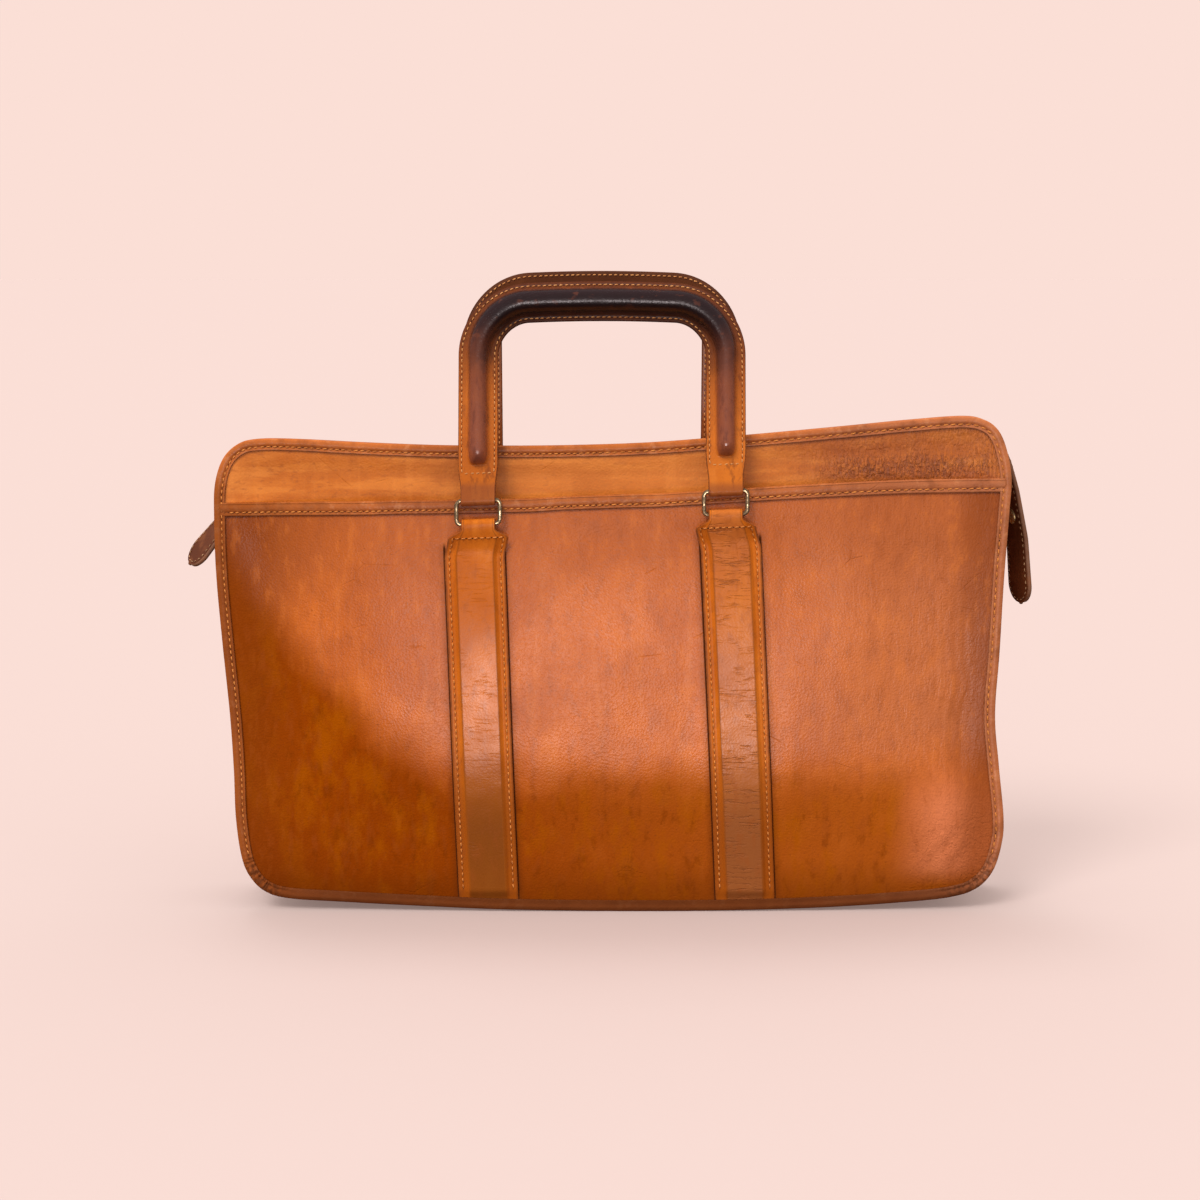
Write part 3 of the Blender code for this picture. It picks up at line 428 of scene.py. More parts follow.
def leather(name, tone, deep, pale, gloss, pebble=0.05, rim_tone=(0.13, 0.045, 0.02), patina=None, wax=0.5):
    """Worn cowhide. Colour: broad patches of tone and deep, upright pale streaks, small dark blots, creases.
    Height: pebbled grain, pores and creases, in millimetres. Cut edges are marked rim, sewn lines seam. Dry
    hide doesn't shine; a film of wax on it does. The patina may change all of these from place to place."""
    material, shader, at = new_finish(name)
    patches = rise(blotch(at, 60.0, detail=4.0, warp=0.4), 0.36, 0.66)
    streaks = rise(blotch(at, 9.0, (1.0, 1.0, 9.0), 4.0, 0.6), 0.50, 0.72)
    clouds = blotch(at, 14.0, (1.0, 1.0, 1.6), 5.0, 0.62)
    blots = rise(blotch(at, 3.2, detail=2.0), 0.66, 0.80) * rise(clouds, 0.45, 0.62)
    colour = dye(patches * 0.8, tone, deep)
    colour = dye(streaks * 0.32, colour, pale)
    colour = dye(rise(clouds, 0.40, 0.70) * 0.38, colour, deep)
    colour = dye(blots * 0.45, colour, deep)
    crease = rise(cells(at, 34.0, "DISTANCE_TO_EDGE", (1.0, 1.0, 0.6)), 0.014, 0.0)
    crease = crease * rise(blotch(at, 26.0, detail=3.0), 0.56, 0.70)
    colour = dye(crease * 0.35, colour, deep)
    scuff = rise(blotch(at, 1.1, (14.0, 14.0, 1.0), 2.0), 0.74, 0.80)
    scuff = scuff * rise(blotch(at, 30.0, detail=2.0), 0.50, 0.62)
    colour = dye(scuff * 0.35, colour, pale)
    rim, seam = mark_at(at, "rim"), mark_at(at, "seam")
    grime = rise(blotch(at, 5.0, detail=3.0), 0.30, 0.75)
    # Darker along the seam mark, more in the grime blotches: on the pocket the mark is painted shadow beside the
    # bindings, elsewhere it follows the sewn lines.
    colour = dye(seam * (0.25 + 0.35 * grime), colour, deep)
    colour = dye(rim * (0.55 + 0.35 * grime), colour, rim_tone)
    level = cells(at, 1.25) * pebble + blotch(at, 0.55, detail=2.0) * (0.6 * pebble)
    level = level + clouds * 0.10 - crease * 0.12 - scuff * 0.03
    rough = gloss + (patches - 0.5) * 0.06 + (clouds - 0.5) * 0.22 + rim * 0.12 + seam * 0.08
    film = wax * (1.0 - 0.6 * rim) * (0.75 + 0.5 * clouds)
    if patina:
        colour, rough, level, film = patina(at, part_of(at, "X"), part_of(at, "Z"), colour, rough, level, film)
    bump = relief(level)
    colour.feed(shader.inputs["Base Color"])
    rough.feed(shader.inputs["Roughness"])
    bump.feed(shader.inputs["Normal"])
    shader.inputs["Specular IOR Level"].default_value = 0.0
    waxed = at.node("ShaderNodeBsdfPrincipled", {},
                    {"Base Color": colour, "Roughness": rough - 0.10, "Normal": bump})
    mixed = at.node("ShaderNodeMixShader", {}, {0: film, 1: Strand(shader.outputs[0]), 2: waxed})
    mixed.feed(material.node_tree.nodes["Material Output"].inputs["Surface"])
    return material


def suede_top(at, x, z, colour, rough, level, film):
    """Upper panel: rubbed pale bands along it, darker flecks, and crinkles by the right-hand corner."""
    bands = rise(blotch(at, 7.0, (7.0, 1.0, 1.0), 4.0, 0.6), 0.42, 0.66)
    colour = dye(bands * 0.45, colour, (0.84, 0.28, 0.045))
    flecks = rise(blotch(at, 2.4, (2.0, 1.0, 1.0), 3.0), 0.56, 0.70)
    colour = dye(flecks * 0.35, colour, (0.32, 0.075, 0.014))
    corner = rise(x, 70.0, 130.0)
    colour = dye(corner * 0.35, colour, (0.34, 0.085, 0.022))
    folds = blotch(at, 2.0, (0.75, 1.0, 2.2), 3.0, 0.6, 1.0)
    veins = cells(at, 3.0, "DISTANCE_TO_EDGE", (1.2, 1.0, 1.0))
    middle = rise(abs(z - 246.0), 9.0, 2.0) * rise(x, 112.0, 128.0) * rise(x, 216.0, 196.0)
    crinkle = corner * (0.30 + 0.20 * rise(blotch(at, 16.0, detail=2.0), 0.42, 0.58) + 0.50 * middle)
    level = level + crinkle * (folds * 1.9 + veins * 0.9)
    # Painted shade in the hollows of the crinkles.
    colour = dye(crinkle * rise(folds, 0.60, 0.40) * 0.75, colour, (0.22, 0.056, 0.022))
    colour = dye(rise(abs(x + 10.0), 130.0, 50.0) * 0.35, colour, (0.76, 0.25, 0.045))
    return colour, rough + 0.10 - crinkle * 0.10, level, film * (0.6 + crinkle)


panel_finish = leather("panel_leather", (0.60, 0.158, 0.015), (0.40, 0.088, 0.010), (0.78, 0.25, 0.042),
                       0.52, 0.12, patina=suede_top)


def panel_grid(side):
    """Grid of (x, z) over a whole face of the bag."""
    return fill(*seam_sides(side, PANEL_INSET), np.linspace(0, 1, 190), np.linspace(0, 1, 112))


def seam_distance(x, z):
    """Distance from the middle of the sewn edge of the front."""
    near = np.full(x.shape, 99.0)
    for point in seam_line(FRONT, SEWN_EDGE)[::5]:
        near = np.minimum(near, np.hypot(x - point[0], z - point[1]))
    return near


grid = panel_grid(FRONT)
x, z = grid[..., 0], grid[..., 1]
slack = 0.35 * waver(x / 30.0, z / 14.0, 3) * ease((z - 232.0) / 12.0)
slack = slack * ease((top_line(x) - 4.0 - z) / 10.0)
crinkled = 0.22 * waver(x / 4.2, z / 3.0, 4) * ease((x - 80.0) / 50.0) * ease((z - 236.0) / 8.0)
crinkled = crinkled * ease((top_line(x) - 6.0 - z) / 8.0)
puff = 1.7 * ease(1.0 - seam_distance(x, z) / 13.0)
outer = out_from(FRONT, grid, HIDE_HALF + front_bulge(x, z) + slack + puff + crinkled)
inner = out_from(FRONT, grid, front_bulge(x, z) - HIDE_HALF)
piece("panel_front", shell(outer, inner), panel_finish, "bag", replaces=("front_panel",))

# ---------------------------------------------------------------------------------------------
# Slip pocket. A second full-width hide over the front panel, open along its top. It bellies out,
# has gone slack between the straps, wrinkles by the right-hand seam and is pushed out at the corner.
MOUTH_X = [-216.0, -171.0, -56.0, 47.0, 115.0, 161.0, 216.0]
MOUTH_Z = [226.6, 227.7, 229.8, 233.8, 238.2, 240.0, 240.3]
MOUTH_FOLD = 1.2
STRAP_HALF = 16.4
STRAP_BOTTOM_X = (-68.2, 74.0)
STRAP_TOP_X = (-74.9, 63.9)
STRAP_TOP_Z = (211.0, 216.6)
STRAP_BOTTOM_Z = 8.0


def mouth_edge(x):
    """Top edge of the pocket's binding: straight runs between the given points, averaged over 49 mm."""
    steps = np.linspace(-216, 216, 433)
    line = np.interp(steps, MOUTH_X, MOUTH_Z)
    soft = np.convolve(np.pad(line, 24, mode="edge"), np.ones(49) / 49.0, "valid")
    return np.interp(x, steps, soft)


def strap_middle(which, z):
    """Where the middle of the left (0) or right (1) strap is at a height."""
    share = (z - STRAP_BOTTOM_Z) / (STRAP_TOP_Z[which] - STRAP_BOTTOM_Z)
    return STRAP_BOTTOM_X[which] + (STRAP_TOP_X[which] - STRAP_BOTTOM_X[which]) * share


def pocket_bulge(x, z):
    """How far the pocket bellies out."""
    return (8.5 - ease((z - 130.0) / 90.0)) * belly(x, z)


def pocket_wear(x, z):
    """Height of the pocket over its even belly: slack waves, upright wrinkles, and the pushed-out corner."""
    free = np.ones_like(x)
    for which in (0, 1):
        free = free * ease((np.abs(x - strap_middle(which, z)) - 17.0) / 12.0)
    edge = ease((206.0 - np.abs(x)) / 16.0) * ease((z - 8.0) / 16.0)
    edge = edge * ease((mouth_edge(x) - 12.0 - z) / 14.0)
    slack = 0.75 * waver(x / 52.0, z / 64.0, 11) + 0.35 * waver(x / 24.0 + 3.3, z / 37.0, 12)
    bend = x + 2.5 * waver(z / 18.0, x / 40.0, 13)
    upright = np.sin(2 * np.pi * bend / 5.6) + 0.5 * np.sin(2 * np.pi * bend / 3.7 + 1.0)
    upright = 0.24 * upright * ease((x - 168.0) / 18.0) * ease((207.0 - x) / 8.0)
    upright = upright * ease((z - 46.0) / 30.0) * ease((200.0 - z) / 60.0)
    corner = 3.6 * np.exp(-((x - 181.0) / 23.0) ** 2 - ((z - 50.0) / 24.0) ** 2)
    dent = -1.6 * np.exp(-((x - 196.0) / 11.0) ** 2 - ((z - 96.0) / 26.0) ** 2)
    tucks = np.exp(-((x - 188.0) / 14.0) ** 2 - ((z - 34.0) / 13.0) ** 2)
    tucks = 0.35 * np.sin((x - 0.8 * z) / 2.3) * tucks
    left = -1.0 * np.exp(-((x + 190.0) / 12.0) ** 2 - ((z - 120.0) / 60.0) ** 2)
    low_right = (corner + tucks) * ease((206.0 - x) / 14.0) * ease(z / 20.0)
    return (slack * free + upright + dent + left) * edge + low_right


def rubbed_hide(at, x, z, colour, rough, level, film):
    """Pocket hide: painted shade, a mottled deep orange-brown, below a line that falls from the left seam to the
    middle;
    a painted pinkish sheen and drier hide to the right, a painted highlight at the lower right corner, painted shade
    along the top, the sides, the foot and beside the straps, and dark along its seams."""
    # Below the line: painted shade with some deeper tone of the hide, mottled by amber and sunk, with the wax film
    # taken off.
    climb = x.sum("MAXIMUM", 0.0 - x - 60.0, 0.0)
    under = climb * climb * 0.0055 + 80.0 - z + (blotch(at, 34.0, detail=2.0) - 0.5) * 26.0
    under = rise(under, -20.0, 24.0)
    shaded_low_colour = dye(rise(x, -90.0, 150.0), (0.250, 0.040, 0.0002), (0.36, 0.078, 0.006))
    colour = dye(under * (0.86 + 0.10 * rise(x, -40.0, -120.0)), colour, shaded_low_colour)
    amber = rise(blotch(at, 13.0, (1.0, 1.0, 2.2), 5.0, 0.65), 0.44, 0.68)
    colour = dye(under * amber * 0.55, colour, (0.38, 0.090, 0.0005))
    sunk = rise(blotch(at, 6.0, (1.0, 1.0, 2.0), 5.0, 0.65), 0.52, 0.70)
    colour = dye(under * sunk * 0.45, colour, (0.16, 0.028, 0.0005))
    film = film * (1.0 - under * 0.90)
    # Painted pinkish sheen over the right of the pocket; the hide there is also a little rougher.
    painted_right_sheen = rise(x, 50.0, 180.0) * rise(z, 60.0, 110.0)
    colour = dye(painted_right_sheen * 0.60, colour, (0.46, 0.140, 0.052))
    # Painted highlight at the lower right corner.
    pink = rise(x, 150.0, 185.0) * rise(z, 90.0, 55.0) * rise(z, 12.0, 26.0)
    colour = dye(pink * 0.80, colour, (0.68, 0.205, 0.090))
    # Painted shade along the top of the pocket, below the mouth.
    high = rise(z, 150.0, 222.0)
    colour = dye(high * 0.60, colour, (0.40, 0.098, 0.024))
    # Painted shade up both sides of the pocket.
    painted_side_shade = rise(x, -160.0, -204.0) + rise(x, 180.0, 205.0)
    colour = dye(painted_side_shade * 0.70, colour, (0.22, 0.042, 0.003))
    shaded = rise(x, -110.0, -200.0) * (rise(z, 150.0, 215.0) * 0.6 + rise(z, 70.0, 10.0))
    colour = dye(shaded * 0.60, colour, (0.16, 0.026, 0.002))
    mottle = blotch(at, 6.0, (1.0, 1.0, 2.4), 5.0, 0.65)
    colour = dye(rise(mottle, 0.50, 0.68) * 0.30, colour, (0.30, 0.064, 0.010))
    colour = dye(rise(mottle, 0.48, 0.32) * (1.0 - under * 0.8) * 0.25, colour, (0.72, 0.20, 0.036))
    specks = rise(blotch(at, 1.3, detail=1.0), 0.68, 0.76)
    colour = dye(specks * 0.35, colour, (0.16, 0.036, 0.008))
    # Painted shade along the foot of the pocket.
    foot = rise(z, 34.0, 6.0)
    colour = dye(foot * 0.60, colour, (0.12, 0.022, 0.001))
    share = (z - STRAP_BOTTOM_Z) / (STRAP_TOP_Z[0] - STRAP_BOTTOM_Z)
    for which in (0, 1):
        middle = share * (STRAP_TOP_X[which] - STRAP_BOTTOM_X[which]) + STRAP_BOTTOM_X[which]
        beside = abs(x - middle) - STRAP_HALF
        shade = rise(beside, 5.0, 0.0) * rise(beside, -2.0, 0.0) * 0.30
        shade = shade + rise(abs(beside), 1.1, 0.2) * 0.85
        shade = shade * rise(z, STRAP_TOP_Z[which] - 4.0, STRAP_TOP_Z[which] - 9.0)
        colour = dye(shade, colour, (0.075, 0.018, 0.005))
        film = film * (1.0 - shade)
    wrinkles = rise(x, 60.0, 190.0) * rise(blotch(at, 30.0, detail=2.0), 0.36, 0.56)
    level = level + wrinkles * blotch(at, 2.6, (1.0, 1.0, 3.4), 3.0, 0.6, 0.8) * 0.55
    lowest = rise(x, 140.0, 190.0) * rise(z, 80.0, 40.0)
    level = level + lowest * blotch(at, 2.4, detail=3.0, roughness=0.6, warp=1.0) * 0.8
    film = film * (1.0 - under * 0.96) * (1.0 - high * 0.60) * (0.55 + 0.9 * mottle)
    return colour, rough + painted_right_sheen * 0.05, level, film


pocket_finish = leather("pocket_leather", (0.63, 0.148, 0.018), (0.46, 0.096, 0.012), (0.74, 0.215, 0.045),
                        0.42, 0.13, patina=rubbed_hide)


def up_to_mouth(curve):
    """The part of a side edge, bottom to top, below the pocket's mouth."""
    return curve[curve[:, 1] < mouth_edge(curve[:, 0]) - MOUTH_FOLD]


bottom, right, _, left = seam_sides(FRONT, PANEL_INSET)
left, right = up_to_mouth(left), up_to_mouth(right)
rim_x = np.linspace(left[-1, 0], right[-1, 0], 121)
rim_z = mouth_edge(rim_x) - MOUTH_FOLD
rim_z[0], rim_z[-1] = left[-1, 1], right[-1, 1]
mouth = np.stack([rim_x, rim_z], 1)
grid = fill(bottom, right, mouth, left, np.linspace(0, 1, 236), np.linspace(0, 1, 132))
x, z = grid[..., 0], grid[..., 1]
outer = out_from(FRONT, grid, 2.4 + pocket_bulge(x, z) + pocket_wear(x, z))
inner = out_from(FRONT, grid, 1.0 + pocket_bulge(x, z) + np.minimum(pocket_wear(x, z), 2.0))
# Painted shadow beside the bindings, kept as the pocket's seam mark.
shade = ease(1.0 - seam_distance(x, z) / 7.0)
marks = np.concatenate([shade[:1], shade, shade[-1:]])
piece("pocket", shell(outer, inner), pocket_finish, "bag", replaces=("front_pocket",),
      marks={"seam": np.concatenate([marks, 0 * marks], 1)})

# ---------------------------------------------------------------------------------------------
# Pocket mouth binding. A strip of thin leather folded over the pocket's top edge and held by one
# row of stitches close to its lower edge. The thread is waxed linen, its needle holes dark with painted shade.
MOUTH_STRIP = 7.5
MOUTH_STITCH = 5.4


def soften(corners, cut, steps=4):
    """Closed section with each corner rounded: a parabola from cut before the corner to cut after it."""
    c = np.array(corners, dtype=float)
    back, ahead = np.roll(c, 1, 0) - c, np.roll(c, -1, 0) - c
    reach = np.minimum(cut, 0.48 * np.minimum(np.linalg.norm(back, axis=1), np.linalg.norm(ahead, axis=1)))
    a, b = c + unit(back) * reach[:, None], c + unit(ahead) * reach[:, None]
    t = np.linspace(0, 1, steps)[None, :, None]
    return ((1 - t) ** 2 * a[:, None] + 2 * t * (1 - t) * c[:, None] + t ** 2 * b[:, None]).reshape(-1, 2)


def bump_at(value, place, width):
    """Bell-shaped hump of height 1 at a place."""
    return np.exp(-((value - place) / width) ** 2)


def sew(name, line, normal, pitch, body, thread, hole, length=0.74, thick=0.40, slant=0.12):
    """Row of stitches along a line. Each is a bead of five rings whose pointed ends dip into the leather, and
    a dark lens of painted shade lies between each two of them for the needle hole."""
    reach = np.concatenate([[0.0], np.cumsum(np.linalg.norm(np.diff(line, axis=0), axis=1))])
    count = max(1, int(round(reach[-1] / pitch)))
    step = reach[-1] / count
    ring = np.arange(6)
    onward = (ring + 1) % 6
    turn = ring * math.pi / 3.0

    def sample(values, places):
        return np.stack([np.interp(places, reach, values[:, k]) for k in range(3)], -1)

    def scatter(label, places, lean, fore, side, over, quads, tris, finish):
        """One small body at each place, its points given along the line, across it and over the leather."""
        middle, up = sample(line, places), unit(sample(normal, places))
        run = unit(sample(line, places + 0.4) - sample(line, places - 0.4))
        across = np.cross(up, run)
        run, across = run + across * lean, across - run * lean
        points = (middle[:, None] + run[:, None] * fore[:, None] + across[:, None] * side[:, None]
                  + up[:, None] * over[:, None])
        shift = len(fore) * np.arange(len(places))[:, None, None]
        faces = (quads[None] + shift).reshape(-1, 4).tolist() + (tris[None] + shift).reshape(-1, 3).tolist()
        mesh_piece(label, points.reshape(-1, 3), faces, finish, body)
    rng = np.random.default_rng(len(name) + count)
    places = (np.arange(count) + 0.5) * step + rng.uniform(-0.05, 0.05, count) * step
    lean = slant + rng.uniform(-0.06, 0.06, count)[:, None]
    s = np.linspace(-1.0, 1.0, 7)[1:-1]
    girth = thick * np.sqrt(1.0 - s ** 2) ** 0.7
    lift = 0.10 + thick * (0.75 - 1.25 * s ** 2)
    fore = np.concatenate([[-1.0], np.repeat(s, 6), [1.0]]) * 0.5 * length * step
    side = np.concatenate([[0.0], (girth[:, None] * np.cos(turn)).ravel(), [0.0]])
    over = (lift[:, None] + girth[:, None] * np.sin(turn) * 0.8).ravel()
    over = np.concatenate([[-0.25 * thick], over, [-0.25 * thick]])
    walls = [np.stack([1 + ring, 1 + onward, 7 + onward, 7 + ring], 1) + 6 * k for k in range(4)]
    caps = [np.stack([0 * ring, 1 + onward, 1 + ring], 1), np.stack([31 + 0 * ring, 25 + ring, 25 + onward], 1)]
    scatter(name, places, lean, fore, side, over, np.concatenate(walls), np.concatenate(caps), thread)
    fore = np.concatenate([[0.0], np.cos(turn) * 0.44, [0.0]])
    side = np.concatenate([[0.0], np.sin(turn) * 0.34, [0.0]])
    over = np.concatenate([[0.09], np.zeros(6) - 0.02, [-0.12]])
    fan = [np.stack([0 * ring, 1 + ring, 1 + onward], 1), np.stack([7 + 0 * ring, 1 + onward, 1 + ring], 1)]
    scatter(name + "_holes", np.arange(count + 1) * step, 0.0, fore, side, over, np.zeros((0, 4), int),
            np.concatenate(fan), hole)


def thread_finish(name, tone, soiled):
    """Waxed linen thread: two plies that twist, and dirt where it has been handled."""
    material, shader, at = new_finish(name)
    dirt = rise(blotch(at, 9.0, detail=3.0), 0.38, 0.66)
    ply = blotch(at, 0.35, detail=1.0)
    colour = dye(rise(ply, 0.3, 0.7) * 0.3, tone, soiled)
    dye(dirt * 0.75, colour, soiled).feed(shader.inputs["Base Color"])
    (0.55 + dirt * 0.15).feed(shader.inputs["Roughness"])
    relief(ply * 0.10).feed(shader.inputs["Normal"])
    shader.inputs["Specular IOR Level"].default_value = 0.2
    return material


tan_thread = thread_finish("tan_thread", (0.70, 0.26, 0.060), (0.42, 0.13, 0.028))
cream_thread = thread_finish("cream_thread", (0.72, 0.34, 0.12), (0.44, 0.16, 0.05))
soiled_thread = thread_finish("soiled_thread", (0.52, 0.30, 0.16), (0.22, 0.10, 0.05))
# Needle holes: dark lenses of painted shade where the thread goes into the leather.
needle_hole_shade = leather("needle_hole_shade", (0.085, 0.022, 0.006), (0.050, 0.012, 0.004), (0.12, 0.03, 0.01), 0.75)


def binding_wear(at, x, z, colour, rough, level, film):
    """Bindings: painted pinkish sheen to the right, painted shade up the left side, at the foot and in the gathers,
    rubbed pale.
    """
    # Painted pinkish sheen to the right.
    rosy = rise(x, 40.0, 200.0)
    colour = dye(rosy * 0.45, colour, (0.46, 0.165, 0.080))
    rub = rise(blotch(at, 6.0, detail=4.0, roughness=0.65), 0.52, 0.68)
    colour = dye(rub * 0.35, colour, (0.60, 0.24, 0.10))
    dirt = rise(blotch(at, 11.0, detail=4.0), 0.52, 0.70)
    colour = dye(dirt * 0.40, colour, (0.17, 0.045, 0.014))
    # Painted shade along the foot.
    foot = rise(z, 26.0, 6.0)
    colour = dye(foot * 0.90, colour, (0.100, 0.026, 0.008))
    # Painted shade up the left side.
    side = rise(x, -150.0, -205.0) * rise(z, 252.0, 225.0)
    colour = dye(side * 0.60, colour, (0.20, 0.048, 0.010))
    # Painted shade in the gathered pleats at the lower corners.
    gathered = rise(z, 40.0, 22.0) * rise(abs(x), 176.0, 192.0)
    gathered = gathered * rise(blotch(at, 2.5, detail=3.0), 0.40, 0.60)
    colour = dye(gathered * 0.60, colour, (0.060, 0.018, 0.007))
    film = film * (1.0 - foot) * (1.0 - side * 0.8)
    return colour, rough, level + blotch(at, 1.6, detail=3.0) * 0.10, film


def strip_height(x, down):
    """Height of a line on the mouth strip that runs a distance down from its fold."""
    return mouth_edge(x) - down + 0.25 * waver(x / 23.0, 0.0 * x + 0.5, 21)


binding_finish = leather("binding_leather", (0.49, 0.130, 0.026), (0.29, 0.068, 0.012), (0.64, 0.21, 0.055),
                         0.46, 0.10, patina=binding_wear, wax=0.35)
strip_x = np.linspace(left[-1, 0] + 1.0, right[-1, 0] - 1.0, 420)
section = soften([(MOUTH_STRIP, 2.5), (MOUTH_STRIP, 3.5), (0.0, 3.75), (0.0, 0.9), (0.8, 0.9), (0.8, 2.5)],
                 0.9, 5)
face = np.stack([np.linspace(1.0, 7.0, 25)[::-1], np.full(25, 3.55)], 1)
split = int(np.argmax(section[:, 0] < 5.0))
section = np.concatenate([section[:split], face, section[split:]])
down, w = section[:, 0], section[:, 1]
shaped = w + (w > 2.9) * (0.35 * bump_at(down, 2.9, 1.7) - 0.32 * bump_at(down, MOUTH_STITCH, 0.55))
xs = strip_x[:, None] + 0 * down[None]
zs = strip_height(xs, down[None])
lift = 0.10 * waver(xs / 7.0, down[None] / 5.0, 22)
strip = out_from(FRONT, np.stack([xs, zs], -1), shaped[None] + lift + pocket_bulge(xs, zs))
flat_end = strip.mean(1, keepdims=True) * np.ones((1, len(down), 1))
strip = np.concatenate([flat_end[:1], strip, flat_end[-1:]])
marks = {"seam": np.tile(bump_at(down, MOUTH_STITCH, 1.0) * (w > 2.9), (len(strip), 1)),
         "rim": np.tile((down > MOUTH_STRIP - 0.35) * 1.0, (len(strip), 1))}
piece("mouth_binding", strip, binding_finish, "bag", marks=marks,
      replaces=("pocket_mouth_binding",))


def outward(side, count):
    """Directions straight out of the bag."""
    return np.tile(np.array([0.0, side, 0.0]), (count, 1))


for name, low, high, pitch in (("mouth_stitches_left", strip_x[0] + 5.0, -5.0, 3.4),
                               ("mouth_stitches_right", -5.0, strip_x[-1] - 5.0, 4.1)):
    xs = np.linspace(low, high, 400)
    zs = strip_height(xs, MOUTH_STITCH)
    line = out_from(FRONT, np.stack([xs, zs], -1), 3.34 + pocket_bulge(xs, zs))
    sew(name, line, outward(FRONT, 400), pitch, "bag", tan_thread, needle_hole_shade)

# ---------------------------------------------------------------------------------------------
# Back panel. The same hide as the pocket, 1.4 mm, with nothing sewn over it but the straps. It bellies
# out and has gone a little slack between them.


def back_bulge(x, z):
    """How far the back panel bellies out."""
    return 6.0 * belly(x, z) * ease((top_line(x) * BACK_HEIGHT_SCALE - z) / 60.0)


def back_wear(x, z):
    """Slack waves of the back panel, none under its straps or by its seams."""
    edge = ease((204.0 - np.abs(x)) / 20.0) * ease((z - 8.0) / 20.0) * ease((248.0 - z) / 22.0)
    for which in (0, 1):
        edge = edge * ease((np.abs(x - strap_middle(which, z)) - 17.0) / 12.0)
    return (0.8 * waver(x / 50.0, z / 60.0, 31) + 0.3 * waver(x / 22.0, z / 30.0, 32)) * edge


grid = panel_grid(BACK)
x, z = grid[..., 0], grid[..., 1]
rise_out = back_bulge(x, z) + back_wear(x, z)
sheet = shell(out_from(BACK, grid, HIDE_HALF + rise_out), out_from(BACK, grid, rise_out - HIDE_HALF))
piece("panel_back", sheet, pocket_finish, "bag", replaces=("back_panel",))

# ---------------------------------------------------------------------------------------------
# Gusset. One soft strip round both sides and the base. It folds inwards towards the mouth on both
# sides, sags to the floor along the base, and is creased where it turns the lower corners.


def gusset_grid(layer):
    """Wall between the two seams: inset from them, pushed in by the fold, let down by the sag. Its edges turn
    down inside the bindings. Layer 0 is its outer face, layer 1 its inner face."""
    front = seam_line(FRONT, 0.0)
    first, last = nearest(front, (-215.0, 241.0)), nearest(front, (215.0, 255.0))
    picks = np.arange(first, last + len(front) + 1, 2) % len(front)
    between = 0.5 - 0.5 * np.cos(np.linspace(0.12, math.pi - 0.12, 44))
    v = np.concatenate([[0.0, 0.0], between, [1.0, 1.0]])
    inset = np.full(len(v), 7.6 + 1.4 * layer)
    inset[[0, -1]] = 1.6
    inset[[1, -2]] = 6.7 + 1.2 * layer
    curves = [np.stack([seam_line(side, i)[picks] for i in (1.6, inset[1], inset[3])])
              for side in (FRONT, BACK)]
    kind = np.where(inset == 1.6, 0, np.where(inset == inset[1], 1, 2))
    a, b = [np.moveaxis(c[kind], 0, 1) for c in curves]
    seam_w = -2.3 + 1.3 * layer
    start = -(half_depth(a[..., 0], a[..., 1]) + seam_w)
    stop = half_depth(b[..., 0], b[..., 1]) + seam_w
    flat = a + (b - a) * v[None, :, None]
    y = start + (stop - start) * v[None]
    edge = front[picks]
    inward = unit(seam_line(FRONT, 1.0)[picks] - edge)[:, None]
    body_of_wall = (ease(v / 0.22) * ease((1.0 - v) / 0.22))[None] * (kind == 2)[None]
    under = ease((150.0 - np.abs(flat[..., 0])) / 45.0) * (flat[..., 1] < 60.0)
    fold = ease((flat[..., 1] - 120.0) / 90.0) * (np.abs(flat[..., 0]) > 150.0)
    travel = np.cumsum(np.linalg.norm(np.diff(edge, axis=0, prepend=edge[:1]), axis=1))[:, None]
    creases = 0.7 * waver(travel / 14.0, v[None] * 5.0, 41) + 0.3 * waver(travel / 5.0, v[None] * 4.0, 42)
    low_corner = ease((70.0 - flat[..., 1]) / 40.0) * ease((np.abs(flat[..., 0]) - 150.0) / 30.0)
    creases = creases * (0.8 + 1.6 * low_corner) * (1.0 - under)
    push = 13.0 * fold * (0.82 + 0.18 * waver(travel / 40.0, v[None] * 0.0, 43)) - 8.6 * under + creases
    flat = flat + inward * (body_of_wall * push)[..., None]
    z = np.maximum(flat[..., 1], 1.4 * layer)
    return np.stack([flat[..., 0], y, z], -1)


def creased_hide(at, x, z, colour, rough, level, film):
    """Gusset hide: darker low down and along fold lines that stand up a little."""
    colour = dye(rise(z, 60.0, 5.0) * 0.45, colour, (0.24, 0.065, 0.016))
    lines = blotch(at, 4.0, (1.0, 2.5, 1.0), 4.0, 0.6, 0.8)
    colour = dye(rise(lines, 0.55, 0.70) * 0.35, colour, (0.20, 0.05, 0.014))
    return colour, rough + 0.04, level + lines * 0.5, film


gusset_finish = leather("gusset_leather", (0.42, 0.125, 0.028), (0.26, 0.065, 0.014), (0.54, 0.20, 0.06),
                        0.48, 0.06, patina=creased_hide)
piece("gusset_strip", shell(gusset_grid(0), gusset_grid(1)), gusset_finish, "bag",
      replaces=("gusset",))

# ---------------------------------------------------------------------------------------------
# Edge bindings. A strip of thin leather folded round each seam, rolled at the outside, stitched
# through close to its inner edge, gathered in little pleats at the lower corners.
BIND_WIDTH = 6.3
BIND_STITCH = 4.4


